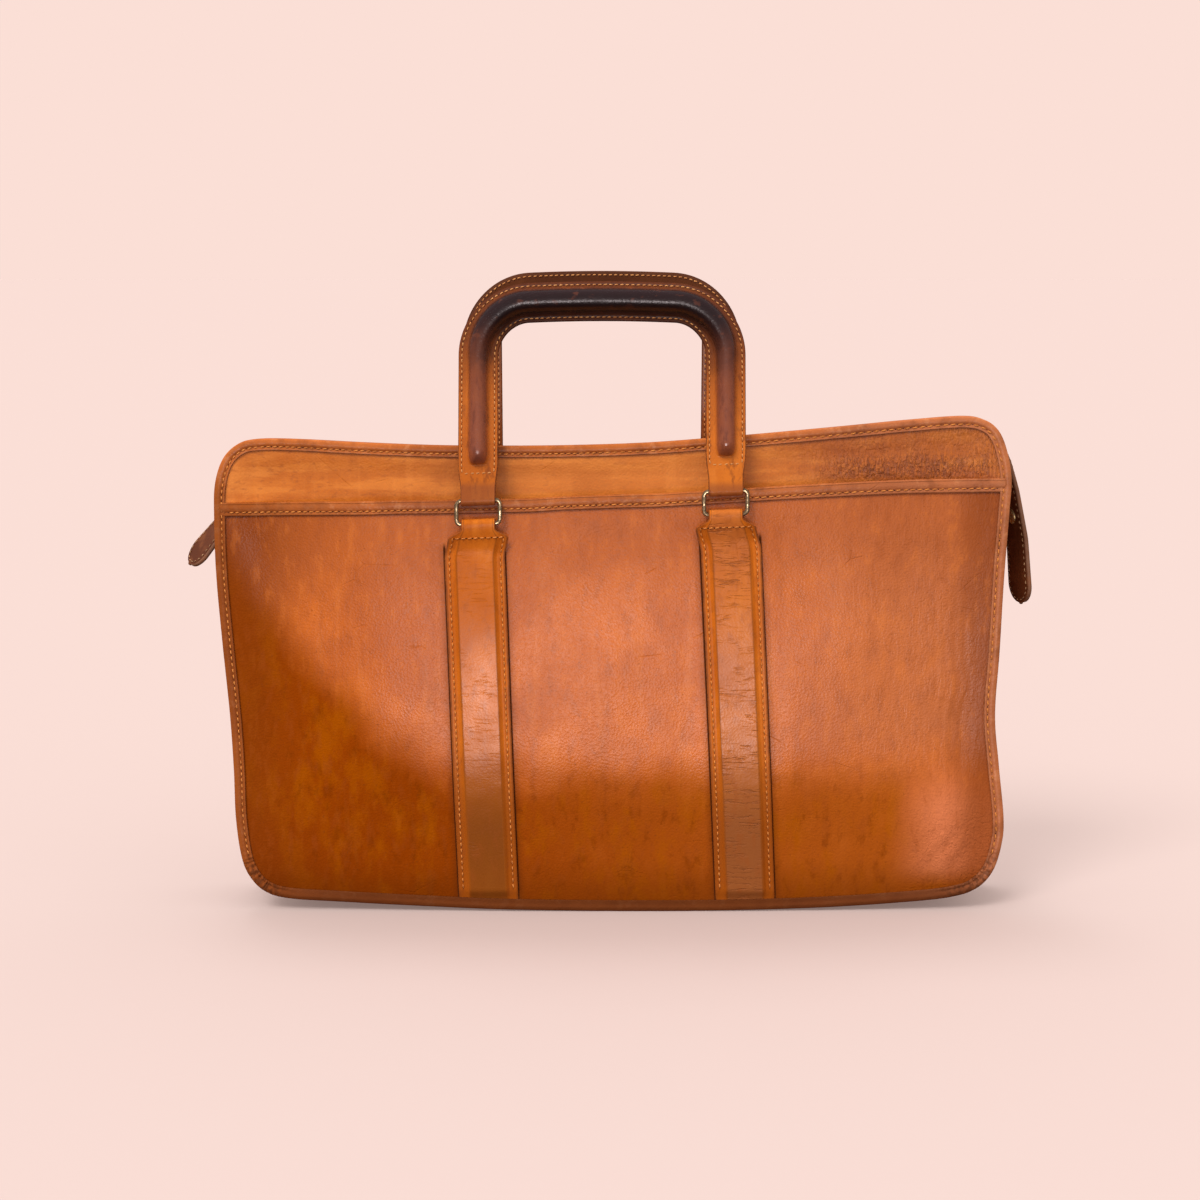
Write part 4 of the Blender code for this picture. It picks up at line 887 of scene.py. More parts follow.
def binding_rise(curve, inset, w):
    """How far the binding's face stands over its plain section: roll, sewn groove, pleats, small ripples."""
    s = np.cumsum(np.linalg.norm(np.diff(curve, axis=0, prepend=curve[:1]), axis=1))[:, None]
    face = ease((np.abs(w)[None] - 2.4) / 0.8)
    roll = 0.45 * bump_at(inset, 2.3, 1.3)[None]
    x, z = curve[:, :1], curve[:, 1:]
    foot = ease((16.0 - z) / 6.0) * ease((188.0 - np.abs(x)) / 10.0)
    groove = 0.42 * bump_at(inset, BIND_STITCH, 0.6)[None] * (1.0 - foot)
    corner = bump_at(np.hypot(x + 198.0, z - 17.0), 0.0, 17.0)
    corner = corner + bump_at(np.hypot(x - 205.0, z - 15.0), 0.0, 18.0)
    pleats = 0.42 * np.sin(2 * np.pi * s / 3.4 + 3.5 * waver(s / 5.0, s * 0.0, 51)) * corner
    pleats = pleats * (0.65 + 0.55 * waver(s / 3.0, inset[None] / 3.0, 54))
    pleats = pleats * ease((inset[None] - 0.8) / 2.0)
    small = 0.14 * waver(s / 5.0, inset[None] / 3.0, 52) + 0.10 * waver(s / 17.0, s * 0.0 + 0.5, 53)
    return face * (roll - groove + pleats + small)


for prefix, side in (("front", FRONT), ("back", BACK)):
    section = soften([(BIND_WIDTH, 2.6), (BIND_WIDTH, 3.5), (0.1, 3.5), (0.1, -3.5), (BIND_WIDTH, -3.5),
                      (BIND_WIDTH, -2.6), (0.9, -2.6), (0.9, 2.6)], 1.1, 6)
    fine = np.linspace(1.4, 5.7, 19)
    section = np.concatenate([section[:12], np.stack([fine[::-1], np.full(19, 3.5)], 1), section[12:]])
    inset, w = section[:, 0], section[:, 1]
    rows = np.stack([seam_line(side, i) for i in inset], 1)
    edge = seam_line(side, 0.0)
    swell = binding_rise(edge, inset, w) * np.sign(w)[None]
    seam = bump_at(inset, BIND_STITCH, 0.9)[None] * (w > 2.9)[None] + np.zeros((len(edge), 1))
    rim = ((inset > BIND_WIDTH - 0.3) * 1.0)[None] + np.zeros((len(edge), 1))
    piece(prefix + "_binding", out_from(side, rows, w[None] + swell), binding_finish, "bag",
          wrap=True, marks={"seam": seam, "rim": rim}, replaces=(prefix + "_edge_binding",))
    line = seam_line(side, BIND_STITCH)
    first, last = nearest(edge, (213.0, 30.0)), nearest(edge, (-205.0, 30.0))
    middle = nearest(edge, (-5.0, 259.0))
    for word, start_at, stop_at, pitch in (("right", first, middle, 4.2), ("left", middle, last, 3.4)):
        run = line[start_at:stop_at + 1]
        sew(f"{prefix}_binding_stitches_{word}", out_from(side, run, 3.12), outward(side, len(run)), pitch,
            "bag", tan_thread, needle_hole_shade)

# ---------------------------------------------------------------------------------------------
# Rings. Rounded rectangles bent from 2.5 mm brass wire, brown in the hollows and rubbed to pale
# gold where the leather and the hand wear them. The lower bar lies in the strap's fold.
RING_X = (-72.3, 61.4)
RING_Z = (222.95, 228.1)
RING_SLOPE = (RING_Z[1] - RING_Z[0]) / (RING_X[1] - RING_X[0])
RING_HALF_WIDTH = 11.75
RING_HALF_HEIGHT = 6.35
RING_CORNER = 2.6
WIRE_RADIUS = 1.25
BACK_LIFT = 4.0


def ring_centre(side, which):
    """Middle of a ring: both rings of a side stand equally far out, clear of the belly behind them."""
    lift, bulge, stand_off = (0.0, pocket_bulge, 6.8) if side < 0 else (BACK_LIFT, back_bulge, 5.3)
    reach = [half_depth(x, z) + bulge(x, z) + stand_off
             for x, z in zip(RING_X, np.array(RING_Z) + lift - RING_HALF_HEIGHT)]
    return np.array([RING_X[which], side * float(max(reach)), RING_Z[which] + lift])


def wire_loop(half_wide, half_high, corner, radius):
    """Rounded rectangle of round wire about its own middle: (across, out, up) for each section and turn."""
    quarter = np.arange(4)[:, None]
    angle = math.pi / 2 * quarter + np.linspace(0, math.pi / 2, 10)[None]
    sx, sz = np.array([1, -1, -1, 1])[:, None], np.array([1, 1, -1, -1])[:, None]
    nx, nz = np.cos(angle), np.sin(angle)
    px, pz = sx * (half_wide - corner) + corner * nx, sz * (half_high - corner) + corner * nz
    px, pz, nx, nz = [v.reshape(-1, 1) for v in (px, pz, nx, nz)]
    turn = np.linspace(0, 2 * math.pi, 16, endpoint=False)[None]
    side_way = radius * np.cos(turn)
    return px + side_way * nx, radius * np.sin(turn) + 0 * px, pz + side_way * nz


def aged_brass(name, bright, brown, rough):
    """Brass that has browned: metal all through, with brown film in patches and fine rubbing scratches."""
    material, shader, at = new_finish(name)
    film = rise(blotch(at, 2.6, detail=4.0, roughness=0.6), 0.36, 0.58)
    lines = blotch(at, 0.25, (8.0, 1.0, 1.0), 2.0)
    dye(film * 0.85, bright, brown).feed(shader.inputs["Base Color"])
    (rough + film * 0.25 + (lines - 0.5) * 0.10).feed(shader.inputs["Roughness"])
    (1.0 - film * 0.35).feed(shader.inputs["Metallic"])
    relief(lines * 0.02 + film * 0.03).feed(shader.inputs["Normal"])
    return material


brass = aged_brass("aged_brass", (0.66, 0.52, 0.31), (0.13, 0.075, 0.035), 0.28)
across, out, up = wire_loop(RING_HALF_WIDTH, RING_HALF_HEIGHT, RING_CORNER, WIRE_RADIUS)
for prefix, side in (("front", FRONT), ("back", BACK)):
    for which, word in ((0, "left"), (1, "right")):
        points = ring_centre(side, which) + np.stack([across, out, up + RING_SLOPE * across], -1)
        piece(f"{prefix}_{word}_ring", points, brass, f"{prefix}_ring_{word}", wrap=True,
              replaces=(f"{prefix}_ring_{word}",))

# ---------------------------------------------------------------------------------------------
# Straps. Each is one length of strap leather folded round its ring and laid back under itself,
# so its middle stands up in a polished band between two sewn edges. It dives under the binding.
STRAP_LEATHER = 1.3
STRAP_STITCH = 13.7
NECK_HALF = 9.3
NECK_BEND = 9.9
LOOP_RADIUS = 2.15


def rounded_strip(middle, normal, thickness, rim_steps=7):
    """Closed strip of even thickness with half-round edges and ends, from its middle surface (along, across).
    Returns its rings of points and the rim mark, 1 on the cut edges."""
    half = 0.5 * thickness
    turn = np.linspace(0, math.pi, rim_steps)[1:-1]
    right, left = unit(middle[:, -1] - middle[:, -2]), unit(middle[:, 0] - middle[:, 1])
    c, s = np.cos(turn)[None, :, None], np.sin(turn)[None, :, None]
    right_rim = middle[:, -1:] + half * (c * normal[:, -1:] + s * right[:, None])
    left_rim = middle[:, :1] + half * (-c * normal[:, :1] + s * left[:, None])
    ring = np.concatenate([middle + half * normal, right_rim, (middle - half * normal)[:, ::-1], left_rim], 1)
    spine = np.concatenate([middle, np.repeat(middle[:, -1:], len(turn), 1), middle[:, ::-1],
                            np.repeat(middle[:, :1], len(turn), 1)], 1)
    flat = np.zeros(middle.shape[1])
    rim = np.concatenate([flat, np.ones(len(turn)), flat, np.ones(len(turn))])
    ends = []
    for row, beside in ((0, 1), (-1, -2)):
        ahead = unit((spine[row] - spine[beside]).mean(0))
        angle = np.array([math.pi / 2, math.pi / 3, math.pi / 6])[:, None, None]
        ends.append(spine[row] + (ring[row] - spine[row]) * np.cos(angle) + ahead * half * np.sin(angle))
    points = np.concatenate([ends[0], ring, ends[1][::-1]])
    rim = np.tile(rim, (len(points), 1))
    rim[:3], rim[-3:] = 1.0, 1.0
    return points, rim


def strap_surface(side, which):
    """Middle surface of a strap from its foot, up the face, round the ring's lower bar and down behind: the
    across values, the points and the outward direction."""
    centre = ring_centre(side, which)
    lift = 0.0 if side < 0 else BACK_LIFT
    bar_z = centre[2] - RING_HALF_HEIGHT
    top = STRAP_TOP_Z[which] + lift
    surface, under = (pocket_bulge, 2.4) if side < 0 else (back_bulge, 0.7)
    edge_u = STRAP_HALF - 0.5 * STRAP_LEATHER
    u = np.concatenate([[0.0], [3.0, 6.0, 8.4], np.linspace(9.2, edge_u, 15)])
    u = np.concatenate([-u[:0:-1], u])[None]
    edge = ease((np.abs(u) - NECK_BEND) / 2.2)
    neck = np.interp(np.abs(u), [0.0, NECK_BEND, 12.1, edge_u], [0.0, 8.0, 8.35, NECK_HALF - 0.65])
    neck = np.sign(u) * neck
    z = np.concatenate([np.linspace(4.0, 16.0, 13), np.linspace(17.5, top - 12.0, 110),
                        np.linspace(top - 11.4, bar_z, 44)])[:, None]
    wide = 1.0 - ease((z - top + 2.6) / 5.6)
    share = ease((z - top + 12.0) / (bar_z - top + 12.0))
    uu = neck + (u - neck) * wide
    climbed = (z - STRAP_BOTTOM_Z) / (STRAP_TOP_Z[which] - STRAP_BOTTOM_Z)
    toward_ring = ease(climbed * 14.0 - 13.0)
    middle_x = strap_middle(which, z)
    x = middle_x + (RING_X[which] - middle_x) * toward_ring + uu
    zz = z + RING_SLOPE * uu * ease((z - 158.0) / 50.0)
    groove = bump_at(np.abs(u), STRAP_STITCH, 0.6) * wide * 0.26
    level = under + GAP + 0.65 + 1.6 * (1.0 - edge * wide) - groove
    level = level + 0.16 * waver(z / 6.0, u / 9.0, 60 + which) * (1.0 - edge) * ease((z - 30.0) / 60.0)
    level = level + (under - 0.5 - level) * ease((13.0 - z) / 7.0)
    rest = half_depth(x, zz) + surface(x, zz) + level
    y = side * (rest + (abs(centre[1]) + LOOP_RADIUS - rest) * share)
    lie = np.stack([x + 0 * y, y, zz + 0 * y], -1)
    angle = np.radians(np.linspace(10.0, 180.0, 18))[:, None]
    bar_x = RING_X[which] + neck
    loop = np.stack([bar_x + 0 * angle, centre[1] + side * LOOP_RADIUS * np.cos(angle) + 0 * bar_x,
                     bar_z + LOOP_RADIUS * np.sin(angle) + RING_SLOPE * neck], -1)
    z = np.linspace(bar_z - 1.0, top - 34.0, 26)[:, None]
    share = ease((z - bar_z + 16.0) / 16.0)
    x = RING_X[which] + neck + (strap_middle(which, z) - RING_X[which]) * (1.0 - share)
    rest = half_depth(x, z) + surface(x, z) + under + GAP + 0.65
    y = side * (rest + (abs(centre[1]) - LOOP_RADIUS - rest) * share)
    back = np.stack([x, y, z + RING_SLOPE * neck + 0 * y], -1)
    out = np.array([0.0, side, 0.0])
    turned = np.stack([0 * angle, side * np.cos(angle), np.sin(angle)], -1) * np.ones((1, u.shape[1], 1))
    normal = np.concatenate([np.broadcast_to(out, lie.shape), turned, np.broadcast_to(-out, back.shape)])
    return u[0], np.concatenate([lie, loop, back]), normal


def polished_strap(at, x, z, colour, rough, level, film):
    """Strap: smooth, with painted shade low down, most of all on its raised band, which shines in the middle of its
    length, painted shade on the band's edge slopes and a painted pinkish sheen on the right strap's band. Crosswise
    creases, strongest on the right strap."""
    # Painted shade low down.
    low = rise(z, 120.0, 45.0)
    band = mark_at(at, "band")
    colour = dye(low * band * 0.85, colour, (0.17, 0.046, 0.007))
    colour = dye(low * (1.0 - band) * 0.80, colour, (0.28, 0.062, 0.005))
    cross = rise(blotch(at, 1.7, (7.0, 7.0, 1.0), 3.0, 0.6, 0.9), 0.52, 0.68) * band
    on_right = rise(x, 20.0, 60.0)
    worn = cross * (0.30 + 0.70 * on_right) * rise(blotch(at, 24.0, detail=2.0), 0.40, 0.56)
    colour = dye(worn * 0.55, colour, (0.24, 0.065, 0.02))
    # Painted pinkish sheen on the right strap's band.
    colour = dye(band * on_right * 0.30, colour, (0.44, 0.155, 0.060))
    mottle = blotch(at, 5.0, (1.0, 1.0, 2.0), 5.0, 0.65)
    colour = dye(rise(mottle, 0.48, 0.66) * 0.35, colour, (0.30, 0.070, 0.012))
    middle = rise(abs(z - 118.0), 62.0, 10.0)
    film = film * (0.25 + 0.95 * middle * (0.15 + 0.85 * band)) * (0.6 + 0.8 * mottle)
    film = film * rise(z, -10.0, 70.0)
    # Painted shade on the slope at the edge of the raised band.
    step = band * (1.0 - band) * 4.0
    colour = dye(step * 0.55, colour, (0.20, 0.050, 0.006))
    return colour, rough, level - worn * 0.25 + mottle * 0.06, film


strap_finish = leather("strap_leather", (0.64, 0.162, 0.012), (0.46, 0.100, 0.006), (0.78, 0.245, 0.034),
                       0.42, 0.05, rim_tone=(0.15, 0.048, 0.022), patina=polished_strap)
for prefix, side in (("front", FRONT), ("back", BACK)):
    for which, word in ((0, "left"), (1, "right")):
        u, middle, normal = strap_surface(side, which)
        points, rim = rounded_strip(middle, normal, STRAP_LEATHER)
        edge = np.zeros(points.shape[1] // 2 - len(u))

        def both_faces(values, at_edges):
            """Values across the strip, given to its two faces and its two edges, for every row."""
            return np.tile(np.concatenate([values, edge + at_edges, values[::-1], edge + at_edges]),
                           (len(points), 1))
        band = both_faces(1.0 - ease((np.abs(u) - 9.2) / 1.6), 0.0)
        seam = both_faces(bump_at(np.abs(u), STRAP_STITCH, 1.0), 0.0)
        soft_rim = both_faces(ease((np.abs(u) - 14.9) / 0.9), 1.0)
        piece(f"{prefix}_{word}_strap", points, strap_finish, "bag",
              marks={"rim": np.maximum(rim, soft_rim), "band": band, "seam": seam},
              replaces=(f"{prefix}_strap_{word}",))
        top = STRAP_TOP_Z[which] + (0.0 if side < 0 else BACK_LIFT)
        height = middle[..., 2].mean(1)
        lie = int(np.argmax(height > top - 2.0))
        foot = int(np.argmax(height > 12.0))
        face = middle + normal * 0.5 * STRAP_LEATHER
        columns = [int(np.argmin(np.abs(u - k))) for k in (-STRAP_STITCH, STRAP_STITCH)]
        cross = face[lie, columns[0]:columns[1] + 1] + np.array([0.0, side * 0.1, 0.0])
        path = np.concatenate([face[foot:lie, columns[0]], cross, face[foot:lie, columns[1]][::-1]])
        sew(f"{prefix}_{word}_strap_stitches", path, outward(side, len(path)), 3.4, "bag",
            tan_thread, needle_hole_shade)

# ---------------------------------------------------------------------------------------------
# Handles. A cover of strap leather moulded over a round core, sewn to a flat backing, its ends
# looped through the rings. Hands have polished the grip almost black; the legs are red-brown.
HANDLE_MID_X = -5.45
HANDLE_HALF = 66.85
HANDLE_STRIP_HALF = 10.75
HANDLE_HEIGHT = 116.5
HANDLE_CORNER = 27.0
HANDLE_CROWN = 2.6
HANDLE_STITCH = 8.85
SPRING = HANDLE_HEIGHT - HANDLE_STRIP_HALF - HANDLE_CROWN - HANDLE_CORNER
HANDLE_LEAN = {FRONT: 11.6, BACK: 6.0}


def handle_point(side, x, height, out):
    """Point of the handle from its x, height over the bars and distance outwards, leaned in about the bars."""
    centre = ring_centre(side, 0)
    shear = RING_SLOPE * (x - HANDLE_MID_X) * (1.0 - ease((height - 6.0) / 60.0))
    pivot_z = centre[2] + RING_HALF_HEIGHT + RING_SLOPE * (HANDLE_MID_X - RING_X[0])
    pivot = np.array([HANDLE_MID_X, centre[1], pivot_z])
    rel = np.stack(np.broadcast_arrays(x - HANDLE_MID_X, side * out, height + shear), -1)
    axis = unit(np.array([1.0, 0.0, RING_SLOPE]))
    angle = math.radians(side * HANDLE_LEAN[side])
    turned = (rel * math.cos(angle) + np.cross(axis, rel) * math.sin(angle)
              + axis * (rel @ axis)[..., None] * (1.0 - math.cos(angle)))
    return turned + pivot


def arch(leg_heights):
    """Middle line of the handle: up one leg, round a corner, over the crowned top and down the other leg.
    Returns x, height, and the direction across the strip."""
    turn = np.linspace(0, math.pi / 2, 26)[1:]
    left, right = HANDLE_MID_X - HANDLE_HALF, HANDLE_MID_X + HANDLE_HALF
    flat = np.linspace(left + HANDLE_CORNER, right - HANDLE_CORNER, 60)[1:-1]
    x = np.concatenate([np.full(len(leg_heights), left), left + HANDLE_CORNER * (1 - np.cos(turn)), flat,
                        right - HANDLE_CORNER * (1 - np.cos(turn[::-1])), np.full(len(leg_heights), right)])
    h = np.concatenate([leg_heights, SPRING + HANDLE_CORNER * np.sin(turn), np.full(58, SPRING + HANDLE_CORNER),
                        SPRING + HANDLE_CORNER * np.sin(turn[::-1]), leg_heights[::-1]])
    nx = np.concatenate([-np.ones(len(leg_heights)), -np.cos(turn), np.zeros(58), np.cos(turn[::-1]),
                         np.ones(len(leg_heights))])
    reach = (x - HANDLE_MID_X) / HANDLE_HALF
    h = h + HANDLE_CROWN * (1.0 - reach ** 2) * ease((h - SPRING) / HANDLE_CORNER)
    return x[:, None], h[:, None], nx[:, None], np.sqrt(np.maximum(0.0, 1.0 - nx ** 2))[:, None]


def strip_half(height):
    """Half width of the handle strip: it narrows to the neck in its ring."""
    return NECK_HALF + (HANDLE_STRIP_HALF - NECK_HALF) * ease((height - 4.0) / 16.0)


def ridge(across, height):
    """Height of the moulded grip over the flange: a round back with a fillet at its foot, and a rounded nose."""
    nose = np.sqrt(1.0 - (1.0 - np.clip((height - 19.0) / 7.0, 0.0, 1.0)) ** 2)
    reach = np.abs(across) / ((5.1 + 1.2 * ease((height - 66.0) / 36.0)) * (0.62 + 0.38 * nose))
    dome = np.sqrt(np.clip(1.0 - reach ** 2.3, 0.0, 1.0))
    skirt = 0.16 * np.exp(-((reach - 1.02) / 0.14) ** 2)
    tall = 7.6 + 1.3 * ease((height - 66.0) / 36.0)
    return tall * nose * np.maximum(dome, skirt * (reach > 0.9))


def handled(at, x, z, colour, rough, level, film):
    """Handle leather: black-brown and glossy from the corners over the top, red-brown on the legs."""
    high = rise(z + blotch(at, 14.0, detail=3.0) * 26.0, 300.0, 345.0)
    back = mark_at(at, "ridge")
    streak = blotch(at, 4.0, (1.0, 1.0, 3.0), 5.0, 0.65)
    colour = dye(back * (0.55 + 0.5 * streak), colour, (0.17, 0.044, 0.030))
    colour = dye(rise(streak, 0.52, 0.68) * 0.55, colour, (0.12, 0.030, 0.014))
    colour = dye(rise(z, 256.0, 320.0) * 0.62, colour, (0.17, 0.040, 0.014))
    colour = dye(rise(z, 241.0, 236.0) * 0.60, colour, (0.20, 0.055, 0.024))
    chip = rise(blotch(at, 5.0, (1.4, 1.0, 1.0), 3.0), 0.60, 0.68)
    colour = dye(high * (0.58 + 0.42 * back) * (1.0 - chip * 0.30), colour, (0.020, 0.008, 0.009))
    worn = rise(abs(x + 8.0), 3.0, 1.6) * rise(abs(z - 349.0), 6.0, 3.0) * rise(streak, 0.35, 0.5)
    colour = dye(worn * back * 0.55, colour, (0.20, 0.07, 0.04))
    # Painted shade on the inner half of the grip over the top, kept in the inner mark.
    inner = mark_at(at, "inner")
    colour = dye(inner * high * 0.6, colour, (0.014, 0.006, 0.006))
    film = film * (0.28 + 0.72 * back) * (0.35 + 0.65 * rise(z, 236.0, 262.0))
    return colour, rough + high * 0.04, level + blotch(at, 1.3, detail=3.0) * 0.08, film


grip_finish = leather("grip_leather", (0.62, 0.168, 0.020), (0.42, 0.100, 0.012), (0.72, 0.23, 0.04),
                      0.36, 0.07, rim_tone=(0.10, 0.034, 0.018), patina=handled, wax=1.0)


def flange_wear(at, x, z, colour, rough, level, film):
    """Backing strip: brown on the legs, darker where the fingers close round it."""
    high = rise(z + blotch(at, 14.0, detail=3.0) * 26.0, 300.0, 350.0)
    return dye(high * 0.75, colour, (0.055, 0.018, 0.010)), rough - high * 0.05, level, film


backing_finish = leather("backing_leather", (0.32, 0.095, 0.026), (0.18, 0.05, 0.014), (0.44, 0.16, 0.055),
                         0.42, 0.03, rim_tone=(0.10, 0.032, 0.014), patina=flange_wear, wax=0.3)
legs = np.concatenate([np.linspace(0.0, 17.0, 18), np.linspace(18.0, 28.0, 26),
                       np.linspace(30.0, SPRING, 24)])
for prefix, side in (("front", FRONT), ("back", BACK)):
    inner_out, outer_out = LOOP_RADIUS - 0.65, LOOP_RADIUS + 0.65
    turn = np.linspace(0, math.pi, 8)[1:-1]
    edge_a = (1.0 + 0.5 * STRAP_LEATHER * np.sin(turn) / HANDLE_STRIP_HALF
              - 0.5 * STRAP_LEATHER / HANDLE_STRIP_HALF)
    edge_o = LOOP_RADIUS + 0.5 * STRAP_LEATHER * np.cos(turn)
    across = np.concatenate([np.linspace(-0.94, -0.62, 10), np.linspace(-0.60, 0.60, 45),
                             np.linspace(0.62, 0.94, 10)])
    ring_a = np.concatenate([across, edge_a, across[::-1], -edge_a[::-1]])
    ring_o = np.concatenate([np.full(65, outer_out), edge_o, np.full(65, inner_out), edge_o[::-1]])
    top_side = np.concatenate([np.ones(65), np.zeros(6), np.zeros(65), np.zeros(6)])
    x, h, nx, nz = arch(legs)
    a = ring_a[None] * strip_half(h)
    groove = 0.30 * bump_at(np.abs(a), HANDLE_STITCH, 0.55) * ease((h - 12.0) / 4.0)
    raised = ridge(a, h)
    out = ring_o[None] + top_side[None] * (raised - groove)
    body_rows = handle_point(side, x + nx * a, h + nz * a, out)
    angle = np.linspace(math.radians(20.0), math.pi, 12)[:, None]
    tail = np.linspace(1.0, 13.0, 10)[:, None]
    loops = []
    for end, flip in ((-1.0, -1.0), (1.0, 1.0)):
        reach = ring_o[None]
        down = -np.sin(angle) * reach
        behind = np.cos(angle) * reach
        bent = handle_point(side, HANDLE_MID_X + end * HANDLE_HALF + flip * ring_a[None] * NECK_HALF, down, behind)
        hung = handle_point(side, HANDLE_MID_X + end * HANDLE_HALF + flip * ring_a[None] * NECK_HALF,
                            tail + 0 * ring_a[None], -reach + 0 * tail)
        both = np.concatenate([bent, hung])
        shut = both[-1:].mean(1, keepdims=True) * np.ones((1, len(ring_a), 1))
        loops.append(np.concatenate([both, shut]))
    points = np.concatenate([loops[0][::-1], body_rows, loops[1]])
    pad = np.zeros((len(loops[0]), len(ring_a)))
    rim = np.tile(np.concatenate([np.zeros(65), np.ones(6), np.zeros(65), np.ones(6)]), (len(points), 1))
    on_ridge = np.concatenate([pad, ease(raised / 3.0) * top_side[None], pad])
    seam = np.concatenate([pad, bump_at(np.abs(a), HANDLE_STITCH, 0.9) * top_side[None] * ease((h - 12.0) / 4.0), pad])
    # Mark for the painted shade on the inner half of the grip.
    shaded_inner_half = np.concatenate([pad, ease(-a / 5.0 + 0.1) * (h > 40.0), pad])
    piece(prefix + "_grip", points, grip_finish, prefix + "_handle",
          marks={"rim": rim, "ridge": on_ridge, "seam": seam, "inner": shaded_inner_half},
          replaces=(prefix + "_handle_cover", prefix + "_handle_core"))

    x, h, nx, nz = arch(np.concatenate([np.linspace(4.0, 20.0, 12), np.linspace(22.0, SPRING, 20)]))
    a = np.linspace(-1.0, 1.0, 9)[None] * (strip_half(h) - 0.7)
    middle = handle_point(side, x + nx * a, h + nz * a, np.full_like(a, inner_out - GAP - 0.7))
    ahead = handle_point(side, x + nx * a, h + nz * a, np.full_like(a, inner_out - GAP + 0.3))
    points, rim = rounded_strip(middle, ahead - middle, 1.4)
    piece(prefix + "_grip_backing", points, backing_finish, prefix + "_handle", marks={"rim": rim},
          replaces=(prefix + "_handle_backing",))

    x, h, nx, nz = arch(np.linspace(14.4, SPRING, 40))
    for word, sign in (("outer", 1.0), ("inner", -1.0)):
        a = sign * HANDLE_STITCH * strip_half(h) / HANDLE_STRIP_HALF
        for face, level, flip in (("", outer_out - 0.26, 1.0), ("_behind", inner_out - GAP - 1.4, -1.0)):
            line = handle_point(side, x + nx * a, h + nz * a, np.full_like(x, level))[:, 0]
            above = handle_point(side, x + nx * a, h + nz * a, np.full_like(x, level + flip))[:, 0]
            sew(f"{prefix}_grip_stitches_{word}{face}", line, above - line, 3.0, prefix + "_handle",
                cream_thread, needle_hole_shade, thick=0.34)
    for end, word in ((-1.0, "left"), (1.0, "right")):
        span = np.linspace(-7.6, 7.6, 30)
        at_x = HANDLE_MID_X + end * HANDLE_HALF + span
        line = handle_point(side, at_x, np.full(30, 14.4), np.full(30, outer_out - 0.22))
        above = handle_point(side, at_x, np.full(30, 14.4), np.full(30, outer_out + 0.78))
        sew(f"{prefix}_grip_stitches_foot_{word}", line, above - line, 3.0, prefix + "_handle",
            cream_thread, needle_hole_shade, thick=0.34)

# ---------------------------------------------------------------------------------------------
# Zip. Brass teeth clamped on a woven tape, each half sewn under a leather welt that hinges at the
# bag's edge; a soft facing joins the welts' line to the panels.
ZIP_MID_Z = 255.0
ZIP_ANGLE = math.atan(14.0 / 380.0)
FLAP_HALF_LENGTH = 172.5


def zip_point(a, y, c):
    """Point from the distance along the zip, across the bag, and square to the zip's plane."""
    a, y, c = np.broadcast_arrays(a, y, c)
    return np.stack([a * math.cos(ZIP_ANGLE) - c * math.sin(ZIP_ANGLE), y,
                     ZIP_MID_Z + a * math.sin(ZIP_ANGLE) + c * math.cos(ZIP_ANGLE)], -1)


def woven_tape():
    """Cotton zip tape: ribs along it crossed by fine picks, dyed dark brown and faded in patches."""
    material = bpy.data.materials.new("zip_tape")
    material.use_nodes = True
    shader = material.node_tree.nodes["Principled BSDF"]
    start = Strand(shader.inputs["Base Color"])
    at = start.node("ShaderNodeTexCoord", output="Object")
    at = at.node("ShaderNodeVectorMath", {"operation": "SCALE"}, {0: at, "Scale": 1000.0})
    x = at.node("ShaderNodeSeparateXYZ", inputs={0: at}, output="X")
    y = at.node("ShaderNodeSeparateXYZ", inputs={0: at}, output="Y")
    ribs = x.sum("SINE", y * 9.0) * 0.5 + 0.5
    picks = x.sum("SINE", x * 11.0) * 0.5 + 0.5
    weave = ribs * 0.6 + picks * 0.4
    fade = rise(blotch(at, 12.0, detail=3.0), 0.40, 0.65)
    colour = dye(weave, (0.045, 0.020, 0.012), (0.13, 0.062, 0.035))
    dye(fade * 0.4, colour, (0.16, 0.085, 0.05)).feed(shader.inputs["Base Color"])
    level = weave * 0.12
    level.node("ShaderNodeBump", {}, {"Height": level, "Distance": MM}).feed(shader.inputs["Normal"])
    shader.inputs["Roughness"].default_value = 0.9
    return material


